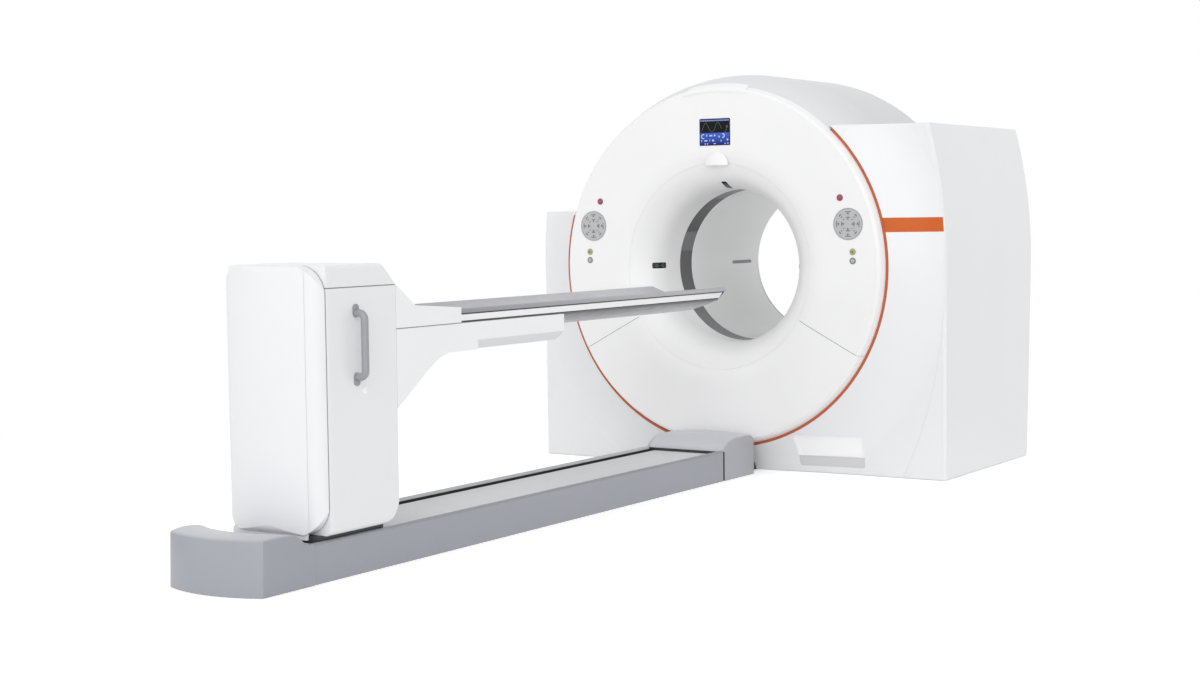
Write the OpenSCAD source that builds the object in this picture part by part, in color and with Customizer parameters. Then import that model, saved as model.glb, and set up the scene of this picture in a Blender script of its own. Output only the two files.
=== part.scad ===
// PET-CT scanner: ring gantry with side covers, and a patient table whose tower runs on a floor rail.
// X runs across the bore, Y from the table towards the back of the gantry, Z up.
// The origin is on the floor under the isocentre, where the bore axis meets the scan plane.

/* [Bore] */
// Height of the bore axis above the floor
axis_h = 1032; // [1020:1:1060]
// Diameter of the patient bore
bore_d = 780; // [760:1:790]
// Width of the scan window ring along the bore
window_w = 121; // [80:1:140]
// Distance from the scan plane back to the end of the bore
bore_rear = 799; // [760:1:820]

/* [Front cover] */
// Radius at which the flat front plate turns into its rim
plate_r = 880; // [860:1:884]
// Radius of the rim where the trim strip lies against it
rim_r = 905; // [900:1:915]
// Distance from the scan plane to the flat front plate
plate_y = 368; // [350:1:380]
// Depth of the rim behind the front plate
rim_depth = 50; // [40:1:60]
// Radius of the trumpet that leads from the plate into the bore
mouth_r = 200; // [170:1:205]
// Radius of the joint between the mouth and the front covers
mouth_joint_r = 520; // [500:1:560]
// Wall of the moulded covers
cover_t = 5; // [4:0.5:7]
// Slope of the split between the front covers
split_slope = 0.53; // [0.4:0.01:0.6]
// Depth of the split's kink below the bore axis
split_kink_drop = 424; // [400:1:440]
// Distance of the split's kink from the middle
split_kink_x = 765; // [750:1:780]

/* [Side covers] */
// Overall width of the gantry
gantry_w = 2320; // [2290:1:2380]
// Distance from the scan plane to the flat front of the side covers
side_front = 200; // [180:1:210]
// Height of the right side cover above the bore axis
right_rise = 688; // [670:1:700]
// Height of the left side cover above the bore axis
left_rise = 286; // [250:1:320]
// Distance from the scan plane to the back of the side covers, at the floor
rear_foot = 897; // [880:1:910]
// The same, at the height of the bore axis and above
rear_waist = 952; // [945:1:970]
// Height above the bore axis from which the side faces lean in
lean_rise = 18; // [0:1:60]
// Radius of that lean
lean_r = 2530; // [2400:10:2700]
// Wall of the side covers
side_t = 4; // [3:0.5:5]
// Width of the trim strip between front cover and side covers
trim_w = 12; // [8:1:14]
// Height of the side band
band_h = 69; // [40:1:72]
// Height of the side band's lower edge above the bore axis
band_rise = 167; // [150:1:180]
// Foot of the door's curved front edge, from the middle
door_foot_x = 938; // [900:1:960]
// Gap under the side covers
floor_gap = 3; // [2:1:10]

/* [Barrel] */
// How far the barrel shell stands out from the rim
barrel_bulge = 67; // [60:1:70]
// Length of the barrel behind the scan plane
barrel_rear = 588; // [570:1:600]
// Length of the rounded shoulder in front
shoulder_l = 294; // [270:1:300]
// Radius of the rear cover's rounded edge
rear_edge_r = 190; // [150:1:200]

/* [Controls] */
// Diameter of a round keypad
keypad_d = 155; // [140:1:160]
// Distance of the keypads from the middle
keypad_x = 730; // [722:1:735]
// Height of the keypads above the bore axis
keypad_rise = 208; // [198:1:218]
// Diameter of a push button
button_d = 32; // [26:1:34]
// Width of the display
display_w = 174; // [150:1:190]
// Height of the display
display_h = 134; // [120:1:150]
// Height of the display's middle above the bore axis
display_rise = 673; // [668:1:683]

/* [Rail] */
// Width of the floor rail
rail_w = 434; // [430:1:440]
// Height of the floor rail
rail_h = 149; // [146:1:152]
// Near end of the rail, from the scan plane
rail_near = 3708; // [3700:1:3720]
// Far end of the rail, from the scan plane
rail_far = 698; // [690:1:705]
// Wall of the rail channel
rail_t = 14; // [12:1:16]
// Length of the near cap along its middle
near_cap_l = 287; // [270:1:300]
// Length of the far cap
far_cap_l = 300; // [280:1:305]
// Height of the end caps
cap_h = 207; // [200:1:212]

/* [Drive] */
// Pinion module
gear_m = 4; // [4:1:4]
// Teeth of the drive pinion
pinion_teeth = 14; // [14:1:16]
// Radius of the lift screw
screw_r = 14; // [12:0.5:15]

/* [Tower] */
// Width of the tower
tower_w = 470; // [462:1:478]
// Near face of the tower, from the scan plane
tower_near = 3668; // [3660:1:3676]
// Far face of the tower, from the scan plane
tower_far = 3207; // [3200:1:3214]
// Height of the tower's top
tower_top = 1134; // [1128:1:1140]
// Height of the tower's lower edge
tower_foot = 165; // [163:1:176]
// Height of the seam under the top cap
cap_seam_z = 1053; // [1050:1:1056]
// Wall of the tower covers
tower_t = 4; // [3:0.5:5]
// Length of the grab handle
handle_l = 256; // [240:1:270]
// Height of the grab handle's middle
handle_z = 842; // [830:1:850]

/* [Pallet and arm] */
// Width of the pallet
pallet_w = 430; // [424:1:432]
// Height of the pallet's rims
pallet_top = 942; // [940:1:945]
// Depth of the pallet's hollow
pallet_dish = 42; // [36:1:46]
// Height of the pallet's lowest line
pallet_belly = 826; // [824:1:830]
// Far end of the pallet, from the scan plane
pallet_tip = 652; // [620:1:700]
// Far end of the arm, from the scan plane
arm_end = 2090; // [2070:1:2110]
// Far end of the cheeks beside the pallet
cheek_end = 2805; // [2795:1:2815]
// Height of the seam between arm and head
head_seam_z = 886; // [884:1:888]
// Height of the arm's underside
arm_bottom = 777; // [774:1:780]

/* [Hidden] */

// Clearances
seam = 0.6;     // open joint between neighbouring covers
seat = 0.3;     // gap between a piece and what carries it
slip = 0.1;     // radial gap of a turning or sliding fit
$fn = 96;
fine = 240;     // segments of the large cylinders

bore_r = bore_d / 2;
half_w = gantry_w / 2;
barrel_r = rim_r + barrel_bulge;
right_top = axis_h + right_rise;
left_top = axis_h + left_rise;
lean_z = axis_h + lean_rise;
band_z = axis_h + band_rise;
keypad_z = axis_h + keypad_rise;
display_z = axis_h + display_rise;
split_kink_z = axis_h - split_kink_drop;
joint_y = -plate_y + rim_depth;
mouth_cy = -plate_y + mouth_r;
mouth_cr = bore_r + mouth_r;
trim_in = rim_r + seam;
trim_out = trim_in + trim_w;
opening_r = trim_out + seam;

// ---------- drawing helpers ----------

// Moves a shape drawn about Z onto the bore axis, its Z along the bore
module on_bore() translate([0, 0, axis_h]) rotate([-90, 0, 0]) children();

// Turns a profile of radius and depth round the bore, between two angles counted up from +X
module turned(from = 0, to = 360) on_bore() rotate([0, 0, -to])
    rotate_extrude(angle = to - from, $fn = fine) children();

// Extrudes a shape drawn in X and Z along Y
module slab_y(y0, y1) translate([0, y1, 0]) rotate([90, 0, 0]) linear_extrude(y1 - y0) children();

// Extrudes a shape drawn in Y and Z along X
module slab_x(x0, x1) translate([x0, 0, 0]) rotate([90, 0, 90]) linear_extrude(x1 - x0) children();

// Extrudes a shape drawn in X and Y along Z
module slab_z(z0, z1) translate([0, 0, z0]) linear_extrude(z1 - z0) children();

// Rectangle between two corners
module rect(a, b) translate(a) square([b[0] - a[0], b[1] - a[1]]);

// Rectangle with round corners, about its middle
module round_rect(w, h, r) {
    square([w - 2 * r, h], center = true);
    square([w, h - 2 * r], center = true);
    for (sx = [-1, 1], sy = [-1, 1]) translate([sx * (w / 2 - r), sy * (h / 2 - r)]) circle(r);
}

// What a fillet of radius r takes off a corner at p, whose body lies towards sx and sy
module nip(p, r, sx, sy) translate(p) difference() {
    translate([sx > 0 ? -1 : -r, sy > 0 ? -1 : -r]) square(r + 1);
    translate([sx * r, sy * r]) circle(r);
}

// Copies a right-hand shape to the left
module both_sides() {
    children();
    mirror([1, 0, 0]) children();
}

// ---------- front covers ----------

// Section of the whole front skin, from the rim to the scan window
module front_skin_section(t = cover_t, proud = 0) {
    rim_y = -plate_y - proud;
    // rim and plate
    difference() {
        polygon([[mouth_cr, rim_y], [plate_r, rim_y], [rim_r - 12 + proud, rim_y + 14],
            [rim_r + proud, joint_y], [rim_r - t, joint_y], [rim_r - 12 - t, rim_y + 14 + t / 2 + proud],
            [plate_r - t / 2, -plate_y + t], [mouth_cr, -plate_y + t]]);
    }
    // trumpet
    intersection() {
        translate([mouth_cr, mouth_cy]) difference() {
            circle(mouth_r + proud, $fn = fine);
            circle(mouth_r - t, $fn = fine);
        }
        rect([0, -plate_y - 10], [mouth_cr, mouth_cy]);
    }
    // straight throat
    rect([bore_r - proud, mouth_cy], [bore_r + t, -window_w / 2 - seat]);
}

module front_skin() turned() intersection() {
    front_skin_section();
    rect([mouth_joint_r + seam / 2, -plate_y - 10], [rim_r + 10, joint_y + 1]);
}

// Everything under the split between the two front covers, in X and Z
module split_zone(gap = 0) {
    inner_x = 55;
    inner_z = split_kink_z - gap + split_slope * (split_kink_x - inner_x);
    outer_x = split_kink_x + 300;
    outer_z = split_kink_z - gap - 0.42 * 300;
    polygon([[-outer_x, outer_z], [-split_kink_x, split_kink_z - gap], [-inner_x, inner_z],
        [inner_x, inner_z], [split_kink_x, split_kink_z - gap], [outer_x, outer_z],
        [outer_x, -50], [-outer_x, -50]]);
}

// Holes that let the buttons, keypads and display into the upper cover
module control_cut() {
    both_sides() {
        translate([keypad_x, -plate_y - 1, keypad_z]) rotate([-90, 0, 0])
            cylinder(d = keypad_d + 2 * seat, h = 1 + cover_t / 2);
        for (p = button_places) translate([p[0], -plate_y - 1, p[1]]) rotate([-90, 0, 0])
            cylinder(d = button_d + 2 * seat, h = cover_t + 2);
    }
    translate([0, 0, display_z]) slab_y(-plate_y - 1, -plate_y + cover_t + 1)
        square([display_w - 2 * display_lip + 2 * seat, display_h - 2 * display_lip + 2 * seat], center = true);
}

display_lip = 7;
stop_place = [keypad_x - 43, keypad_z + 127];
start_place = [keypad_x + 24, keypad_z - 134];
call_place = [keypad_x + 24, keypad_z - 178];
button_places = [stop_place, start_place, call_place];

// Hood under the display: the upper half of a shallow dome
hood_w = 126;
hood_depth = 13;
hood_r = (pow(hood_w / 2, 2) + pow(hood_depth, 2)) / (2 * hood_depth);
hood_z = display_z - 167;
module display_hood() intersection() {
    translate([8, -plate_y - hood_depth + hood_r, hood_z]) sphere(hood_r, $fn = 128);
    translate([8 - hood_w / 2, -plate_y - hood_depth - 1, hood_z]) cube([hood_w, hood_depth + 2, hood_w]);
}

module front_cover_upper() color("white") {
    difference() {
        front_skin();
        slab_y(-plate_y - 20, joint_y + 5) split_zone();
        intersection() {
            turned() front_skin_section(1.5, 1);
            slab_y(-plate_y - 20, joint_y - 3) split_zone(-1);
        }
        control_cut();
    }
    display_hood();
}

module front_cover_lower() color("white") intersection() {
    front_skin();
    slab_y(-plate_y - 20, joint_y + 5) split_zone(seam);
}

// Outline of the laser windows in the mouth: right and left at axis height, and at the top
laser_y0 = -283;
laser_y1 = -200;
laser_w = 30;
module laser_prisms(gap = 0) {
    for (s = [-1, 1]) translate([s * 410, (laser_y0 + laser_y1) / 2, axis_h]) rotate([0, 90, 0])
        linear_extrude(90, center = true)
            round_rect(laser_w + 2 * gap, laser_y1 - laser_y0 + 2 * gap, 7 + gap);
    translate([0, (laser_y0 + laser_y1) / 2, axis_h + 410]) linear_extrude(90, center = true)
        round_rect(laser_w + 2 * gap, laser_y1 - laser_y0 + 2 * gap, 7 + gap);
}

module bore_mouth() color("white") difference() {
    turned() intersection() {
        front_skin_section();
        rect([0, -plate_y - 10], [mouth_joint_r - seam / 2, 0]);
    }
    laser_prisms(seat);
}

module laser_windows() color([0.08, 0.08, 0.09]) intersection() {
    turned() intersection() {
        front_skin_section();
        rect([0, -plate_y - 10], [mouth_joint_r - seam / 2, 0]);
    }
    laser_prisms();
}

module rim_cap() color("white") intersection() {
    turned(70, 110) difference() {
        polygon([[plate_r - 8, -plate_y - 3], [plate_r + 2, -plate_y - 3], [rim_r - 8, -plate_y + 14],
            [rim_r + 9, joint_y], [rim_r + 13, joint_y + 12], [rim_r, joint_y + 12], [rim_r + seat, joint_y],
            [rim_r - 12 + seat, -plate_y + 14], [plate_r, -plate_y - seat], [plate_r - 8, -plate_y - seat]]);
        barrel_section(-seat, 1);
    }
    slab_y(-plate_y - 20, 0) translate([0, axis_h])
        polygon([[-181, plate_r - 22], [-150, rim_r + 23], [150, rim_r + 23], [181, plate_r - 22]]);
}

module scan_window() color([0.1, 0.1, 0.11]) turned()
    rect([bore_r, -window_w / 2], [bore_r + 3, window_w / 2]);

slot_y0 = 511;
slot_y1 = 728;
slot_h = 17;
module liner_slots(gap = 0) for (s = [-1, 1])
    translate([s * bore_r, (slot_y0 + slot_y1) / 2, axis_h - 4]) rotate([0, 90, 0])
        linear_extrude(40, center = true)
            round_rect(slot_h + 2 * gap, slot_y1 - slot_y0 + 2 * gap, 8 + gap);

module liner_body() turned() {
    rect([bore_r, window_w / 2 + seat], [bore_r + cover_t, bore_rear + 8]);
    rect([bore_r, bore_rear + 8], [bore_r + 8, bore_rear + 14]);
}

module bore_liner() color([0.8, 0.8, 0.81]) difference() {
    liner_body();
    liner_slots(seat);
}

module liner_laser_windows() color([0.3, 0.3, 0.31]) intersection() {
    liner_body();
    liner_slots();
}

// ---------- barrel and rear ----------

flush = 0.3;       // how far a large arc is set past the face that it runs into
shoulder_r = (pow(shoulder_l, 2) + pow(barrel_r - rim_r, 2)) / (2 * (barrel_r - rim_r));
barrel_front = joint_y + seam;
shoulder_end = barrel_front + shoulder_l;
tuck = 20;         // how far the barrel shell reaches down behind the side covers

// Section of the barrel's solid of revolution, taken in by t and run past its ends by over
module barrel_section(t = 0, over = 0) {
    rect([0, shoulder_end], [barrel_r - t, barrel_rear + over]);
    intersection() {
        translate([barrel_r + flush - shoulder_r, shoulder_end]) circle(shoulder_r - t, $fn = 480);
        rect([0, barrel_front - over], [barrel_r - t, shoulder_end]);
    }
}

module barrel_shell() color("white") intersection() {
    turned(-10, 200) difference() {
        barrel_section();
        barrel_section(cover_t, 5);
    }
    slab_y(barrel_front - 10, barrel_rear + 10) polygon([[0, right_top - tuck], [barrel_r + 20, right_top - tuck],
        [barrel_r + 20, 2100], [-barrel_r - 20, 2100], [-barrel_r - 20, left_top - tuck], [0, left_top - tuck]]);
}

rear_plate_y = bore_rear + 13;
module rear_cover() color("white") turned() {
    edge_c = [barrel_r - rear_edge_r, rear_plate_y - rear_edge_r];
    rect([bore_r + 8 + seat, rear_plate_y - cover_t], [edge_c[0], rear_plate_y]);
    intersection() {
        translate(edge_c) difference() {
            circle(rear_edge_r, $fn = fine);
            circle(rear_edge_r - cover_t, $fn = fine);
        }
        rect(edge_c, [barrel_r + 1, rear_plate_y + 1]);
    }
    rect([barrel_r - cover_t, barrel_rear + seam], [barrel_r, edge_c[1]]);
}

// ---------- side covers ----------

tunnel_r = barrel_r + 6;
fall_r = 1218;     // radius at which the blend round the ring reaches the flat front
blend_w = fall_r - opening_r;
blend_r = (pow(blend_w, 2) + pow(-joint_y - side_front, 2)) / (2 * (-joint_y - side_front));

// Outline of a side cover seen from the front, right side, taken in by t
module side_outline(t, top, low) {
    rect([seam / 2 - t, low], [half_w - t, lean_z]);
    intersection() {
        rect([seam / 2 - t, lean_z], [half_w - t, top - t]);
        translate([half_w + flush - lean_r, lean_z]) circle(lean_r - t, $fn = 720);
    }
}

// Solid of a side cover, right side, taken in by t
module side_solid(t, top, low) intersection() {
    slab_y(-plate_y, 1000) side_outline(t, top, low);
    union() {
        slab_x(-10, half_w + 10) polygon([[-side_front + t, -60], [rear_foot - t, -60],
            [rear_waist - t, axis_h - 82], [rear_waist + 12 - t, right_top + 50],
            [-side_front + t, right_top + 50]]);
        turned() difference() {
            rect([opening_r, joint_y], [fall_r, -side_front + t + 20]);
            translate([fall_r, -side_front + 1 - blend_r]) circle(blend_r + t, $fn = 360);
        }
    }
    edge_bevel(t);
}

// Bevel along the upright front edge, as everything that it leaves
bevel = 11;
module edge_bevel(t) {
    face = -side_front + t * 0.6;
    slab_z(-100, lean_z) polygon([[-10, -plate_y - 5], [half_w - bevel - face - plate_y - 5 - t * 0.4, -plate_y - 5],
        [half_w - t * 0.4, face + bevel], [half_w + 5, face + bevel], [half_w + 5, 1010], [-10, 1010]]);
    translate([half_w + flush - lean_r, 0, lean_z]) rotate([-90, 0, 0]) translate([0, 0, face - 150])
        cylinder(h = bevel + 150, r1 = lean_r - bevel - 150 - t * 0.4, r2 = lean_r - t * 0.4, $fn = 720);
    slab_y(face + bevel, 1010) rect([-10, lean_z - 1], [half_w + 5, right_top + 50]);
}

// Space that the ring, barrel, rear cover and rail tongue take out of the side covers
module barrel_hole() {
    turned() {
        rect([0, -plate_y - 10], [opening_r, joint_y + 12]);
        barrel_section(-seam, 1);
        rect([0, barrel_rear - 5], [tunnel_r, 1020]);
    }
    tongue_way();
}

// Skin of a side cover, right side
module side_skin(top) {
    difference() {
        side_solid(0, top, floor_gap);
        side_solid(side_t, top, -50);
        barrel_hole();
    }
    intersection() {
        turned() rect([tunnel_r, barrel_rear + 1], [tunnel_r + side_t, 1020]);
        side_solid(0, top, floor_gap);
    }
}

// Outline of the side door, seen from the front
module door_zone(gap = 0) {
    hinge_x = half_w - 6;
    rise = axis_h - 82;
    edge_r = (pow(rise, 2) + pow(hinge_x - door_foot_x, 2)) / (2 * (hinge_x - door_foot_x));
    difference() {
        rect([door_foot_x - 60, -60], [half_w + 10, right_top + 10]);
        intersection() {
            rect([0, -70], [hinge_x + gap, rise]);
            translate([hinge_x + flush - edge_r, rise]) circle(edge_r + gap, $fn = 720);
        }
        rect([0, rise], [hinge_x + gap, lean_z]);
        intersection() {
            rect([0, lean_z], [hinge_x + gap, right_top + 20]);
            translate([hinge_x + flush - lean_r, lean_z]) circle(lean_r + gap, $fn = 720);
        }
    }
}

recess_x0 = 395;
recess_x1 = 737;
recess_z0 = 35;
recess_z1 = 197;
recess_step = 88;
module recess_window(gap = 0) translate([(recess_x0 + recess_x1) / 2, (recess_z0 + recess_z1) / 2])
    round_rect(recess_x1 - recess_x0 - 2 * gap, recess_z1 - recess_z0 - 2 * gap, 12);

module right_side_cover() color("white") difference() {
    side_skin(right_top);
    slab_y(-plate_y - 10, 1010) door_zone();
    slab_y(-plate_y - 10, -50) recess_window();
}

module right_side_door() color("white") intersection() {
    side_skin(right_top);
    slab_y(-plate_y - 10, 1010) door_zone(seam);
}

module left_side_cover() color("white") mirror([1, 0, 0]) side_skin(left_top);

// Shallow tray of the flap, sunk into the cover
flap_sink = 10;
module service_flap() color("white") difference() {
    intersection() {
        side_solid(0, right_top, -50);
        slab_y(-plate_y - 10, -50) flap_outline(seat);
    }
    side_solid(flap_sink + side_t, right_top, -50);
    difference() {
        slab_y(-plate_y - 20, -40) flap_outline(seat + 2.5);
        side_solid(flap_sink, right_top, -50);
    }
}
module flap_outline(gap) intersection() {
    recess_window(gap);
    rect([0, recess_step + gap - seat], [fall_r, recess_z1]);
}

// Plate behind the lower part of the recess
module recess_plate() color([0.6, 0.61, 0.62]) intersection() {
    difference() {
        side_solid(side_t + seat, right_top, -50);
        side_solid(2 * side_t + seat, right_top, -50);
    }
    slab_y(-plate_y - 10, -50) rect([recess_x0 - 14, 14], [recess_x1 + 14, recess_step - seat]);
}

module trim_strip() color([0.82, 0.35, 0.15]) turned(-196.9, 46.9)
    rect([trim_in, joint_y - 3], [trim_out, joint_y + 12]);

module side_band() color([0.85, 0.38, 0.1]) intersection() {
    difference() {
        side_solid(-1.2, right_top, -50);
        side_solid(0, right_top, -50);
    }
    slab_y(-plate_y - 10, -60) difference() {
        intersection() {
            rect([600, band_z], [half_w, band_z + band_h]);
            side_outline(6.5, right_top, -50);
        }
        translate([0, axis_h]) circle(opening_r + seat, $fn = fine);
    }
}

// ---------- controls ----------

module display_panel() color([0.06, 0.09, 0.2]) translate([0, 0, display_z]) {
    slab_y(-plate_y - 2, -plate_y) round_rect(display_w, display_h, 4);
    slab_y(-plate_y, -plate_y + 34)
        square([display_w - 2 * display_lip, display_h - 2 * display_lip], center = true);
}

// Round membrane keypad with raised keys
module keypad(side) color([0.66, 0.68, 0.7]) translate([side * keypad_x, 0, keypad_z]) {
    slab_y(-plate_y - 1.2, -plate_y + cover_t / 2) circle(d = keypad_d);
    slab_y(-plate_y - 2.2, -plate_y - 1.2) {
        for (a = [0 : 45 : 315]) rotate(a) translate([keypad_d * 0.36, 0]) circle(keypad_d * 0.075, $fn = 24);
        for (a = [90 : 120 : 330]) rotate(a) translate([keypad_d * 0.17, 0]) circle(keypad_d * 0.075, $fn = 24);
    }
}

module keypad_left() keypad(-1);
module keypad_right() keypad(1);

// Push button: domed cap through the cover, with a flange that holds it from behind
module push_button(place, side, tint) color(tint)
    translate([side * place[0], -plate_y, place[1]]) rotate([-90, 0, 0]) rotate_extrude() {
        r = button_d / 2;
        rect([0, -2.5], [r, cover_t + seat]);
        intersection() {
            translate([0, -2.5 - 2.5 + 30]) circle(30);
            rect([0, -5], [r, -2.5]);
        }
        rect([0, cover_t + seat], [r + 3, cover_t + seat + 2]);
        rect([0, cover_t + seat + 2], [4, cover_t + seat + 14]);
    }

red = [0.66, 0.16, 0.24];
lime = [0.66, 0.66, 0.2];
grey = [0.6, 0.6, 0.58];
module stop_button_left() push_button(stop_place, -1, red);
module stop_button_right() push_button(stop_place, 1, red);
module start_button_left() push_button(start_place, -1, lime);
module start_button_right() push_button(start_place, 1, lime);
module call_button_left() push_button(call_place, -1, grey);
module call_button_right() push_button(call_place, 1, grey);

// ---------- inside the gantry ----------

base_h = 80;
beam_end = half_w - side_t - seat;
anchor_x = half_w - 130;
anchor_y = 500;
module base_frame() color([0.35, 0.36, 0.38]) difference() {
    union() {
        slab_z(0, base_h) {
            rect([-beam_end, -80], [beam_end, 80]);
            rect([-beam_end, anchor_y - 70], [beam_end, anchor_y + 70]);
            for (s = [-1, 1]) translate([s * anchor_x, anchor_y / 2]) square([160, anchor_y], center = true);
            for (s = [-1, 1]) translate([s * 300, anchor_y / 2]) square([120, anchor_y], center = true);
        }
    }
    for (s = [-1, 1], y = [0, anchor_y]) translate([s * anchor_x, y, -1]) cylinder(r = 9, h = base_h + 2);
}

stator_y0 = 140;
stator_y1 = 200;
bearing_r = 700;
stator_r = 860;
module stator_frame() color([0.45, 0.47, 0.5]) {
    turned() rect([bearing_r + 45 + seat, stator_y0], [stator_r, stator_y1]);
    difference() {
        slab_y(stator_y0, stator_y1) polygon([[-720, base_h], [720, base_h], [560, 420], [-560, 420]]);
        turned() rect([0, stator_y0 - 1], [stator_r - 1, stator_y1 + 1]);
    }
    for (s = [-1, 1]) translate([s * 300, 0, 0]) slab_x(-30, 30)
        polygon([[stator_y1, base_h], [anchor_y, base_h], [stator_y1, base_h + 145]]);
}

module main_bearing() color([0.7, 0.7, 0.72]) turned()
    rect([bearing_r, stator_y0 - 4], [bearing_r + 45, stator_y1 - 10]);

module torque_motor() color([0.5, 0.35, 0.2]) turned()
    rect([drum_r + 4, 98], [drum_r + 54, stator_y0 - seat]);

drum_r = 790;
module rotor_drum() color([0.6, 0.62, 0.65]) turned() {
    rect([430, 100], [drum_r, 132]);
    rect([bearing_r - 40, 132], [bearing_r - slip / 2, stator_y1 - 14]);
    rect([drum_r - 14, -130], [drum_r, 100]);
}

module xray_tube() color([0.8, 0.78, 0.7]) translate([0, 0, axis_h]) {
    translate([0, 100, 610]) rotate([90, 0, 0]) cylinder(r = 112, h = 200);
    difference() {
        slab_y(-70, 90) polygon([[-110, 600], [110, 600], [70, 470], [-70, 470]]);
    }
}

module xray_generator() color([0.3, 0.4, 0.5]) for (a = [-87, 87]) translate([0, 0, axis_h])
    rotate([0, a, 0]) translate([0, 0, 600]) slab_y(-100, 100 - seat) square([260, 180], center = true);

module detector_arc() color([0.25, 0.27, 0.3]) on_bore() translate([0, -595, 0])
    rotate([0, 0, 65]) rotate_extrude(angle = 50, $fn = fine) rect([1085, -60], [1155, 100 - seat]);

module slip_ring() color([0.75, 0.6, 0.3]) turned() rect([560, 132], [620, 172]);

pet_blocks = 38;
module pet_detectors() color([0.55, 0.6, 0.62]) {
    turned() rect([420, stator_y1 + seat], [stator_r - 40, stator_y1 + 24]);
    on_bore() for (i = [0 : pet_blocks - 1]) rotate([0, 0, i * 360 / pet_blocks])
        translate([440, 0, stator_y1 + 150]) cube([44, 62, 264], center = true);
    turned() rect([450, stator_y1 + 24], [474, stator_y1 + 290]);
}

cabinet_d = 124;
cabinet_l = 640;
cabinet_h = 960;
module electronics_cabinet(side) color([0.2, 0.22, 0.24])
    translate([side * (half_w - 30 - cabinet_d / 2), anchor_y / 2, base_h]) difference() {
        translate([0, 0, cabinet_h / 2]) cube([cabinet_d, cabinet_l, cabinet_h], center = true);
        for (i = [0 : 5]) translate([-side * cabinet_d / 2, 0, 130 + i * 150])
            cube([16, cabinet_l - 60, 110], center = true);
    }
module electronics_cabinet_left() electronics_cabinet(-1);
module electronics_cabinet_right() electronics_cabinet(1);

// ---------- floor rail ----------

rail_in = rail_w / 2 - rail_t;
rail_floor = 8;
slot_x = 176;
band_top = 130;
tongue_w = 300;
tongue_h = 40;

reveal = 6;        // open joint between the rail and its far cap

// Way that the rail's tongue takes under the far cap and the side covers
module tongue_way() translate([-tongue_w / 2 - seam, -rail_far, -5])
    cube([tongue_w + 2 * seam, rail_far - 80, tongue_h + seam + 5]);

module rail_channel() color([0.6, 0.62, 0.66]) {
    slab_y(-rail_near, -rail_far) difference() {
        rect([-rail_w / 2, 0], [rail_w / 2, rail_h]);
        rect([-rail_in, rail_floor], [rail_in, rail_h + 1]);
        for (s = [-1, 1]) nip([s * rail_w / 2, rail_h], 10, -s, -1);
    }
    for (y = [-rail_near, -rail_far - 40]) translate([-slot_x + 4, y, rail_floor])
        cube([2 * slot_x - 8, 40, band_top - 5 - rail_floor]);
    translate([-tongue_w / 2, -rail_far, 0]) cube([tongue_w, rail_far - 80 - seat, tongue_h]);
}

module rail_cover_band() color([0.8, 0.81, 0.83])
    translate([-slot_x + 4, -rail_near, band_top - 5]) cube([2 * slot_x - 8, rail_near - rail_far - seat, 5]);

guide_x = 130;
guide_h = 30;
module guide_section(gap = 0) {
    translate([0, rail_floor + 7]) square([24 + 2 * gap, 14 + 2 * gap], center = true);
    translate([0, rail_floor + 18]) square([16 + 2 * gap, 24 + 2 * gap], center = true);
    translate([0, rail_floor + guide_h - 6]) square([24 + 2 * gap, 12 + 2 * gap], center = true);
}

module guide_rails() color([0.75, 0.76, 0.78]) for (s = [-1, 1]) translate([s * guide_x, 0, 0])
    slab_y(-rail_near + 42, -rail_far - 42) guide_section();

pitch_r = gear_m * pinion_teeth / 2;
tooth_pitch = PI * gear_m;
rack_root = 20;
rack_line = rack_root + gear_m;
pinion_z = rack_line + pitch_r;
pinion_y = -(tower_near + tower_far) / 2;
rack_half_w = 15;
rack_teeth = floor((rail_near - rail_far - 90) / tooth_pitch) - 2;

// Profile of one rack tooth, and of the gap after it, along Y
function rack_tooth(y) = [[y - tooth_pitch / 4 - 1.0 * gear_m * tan(20) + 0.1, rack_root],
    [y - tooth_pitch / 4 + 0.8 * gear_m * tan(20) + 0.1, rack_line + 0.8 * gear_m],
    [y + tooth_pitch / 4 - 0.8 * gear_m * tan(20) - 0.1, rack_line + 0.8 * gear_m],
    [y + tooth_pitch / 4 + 1.0 * gear_m * tan(20) - 0.1, rack_root]];

// First tooth near the near end, in step with the pinion's gap at pinion_y
rack_first = pinion_y - tooth_pitch * floor((pinion_y + rail_near - 60) / tooth_pitch);
module drive_rack() color([0.45, 0.46, 0.48]) slab_x(-rack_half_w, rack_half_w)
    polygon(concat([[rack_first - tooth_pitch, rail_floor], [rack_first - tooth_pitch, rack_root]],
        [for (i = [0 : rack_teeth - 1]) each rack_tooth(rack_first + i * tooth_pitch)],
        [[rack_first + rack_teeth * tooth_pitch, rack_root], [rack_first + rack_teeth * tooth_pitch, rail_floor]]));

// S-shaped fall of a cap's top, from (y0, z0) to (y1, z1)
function s_fall(y0, y1, z0, z1, n = 12) = [for (i = [0 : n])
    let (u = i / n) [y0 + (y1 - y0) * u, z0 + (z1 - z0) * (1 - cos(180 * u)) / 2]];

// Quarter round from the upright at (y0, z0) to the level at (y1, z1)
function quarter(y0, y1, z0, z1) = [for (a = [0 : 7.5 : 90])
    [y0 + (y1 - y0) * (1 - cos(a)), z0 + (z1 - z0) * sin(a)]];

function reversed(path) = [for (i = [len(path) - 1 : -1 : 0]) path[i]];

cap_half = rail_w / 2 + 5;
cap_t = 5;
near_cap_y = -rail_near - near_cap_l;

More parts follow.
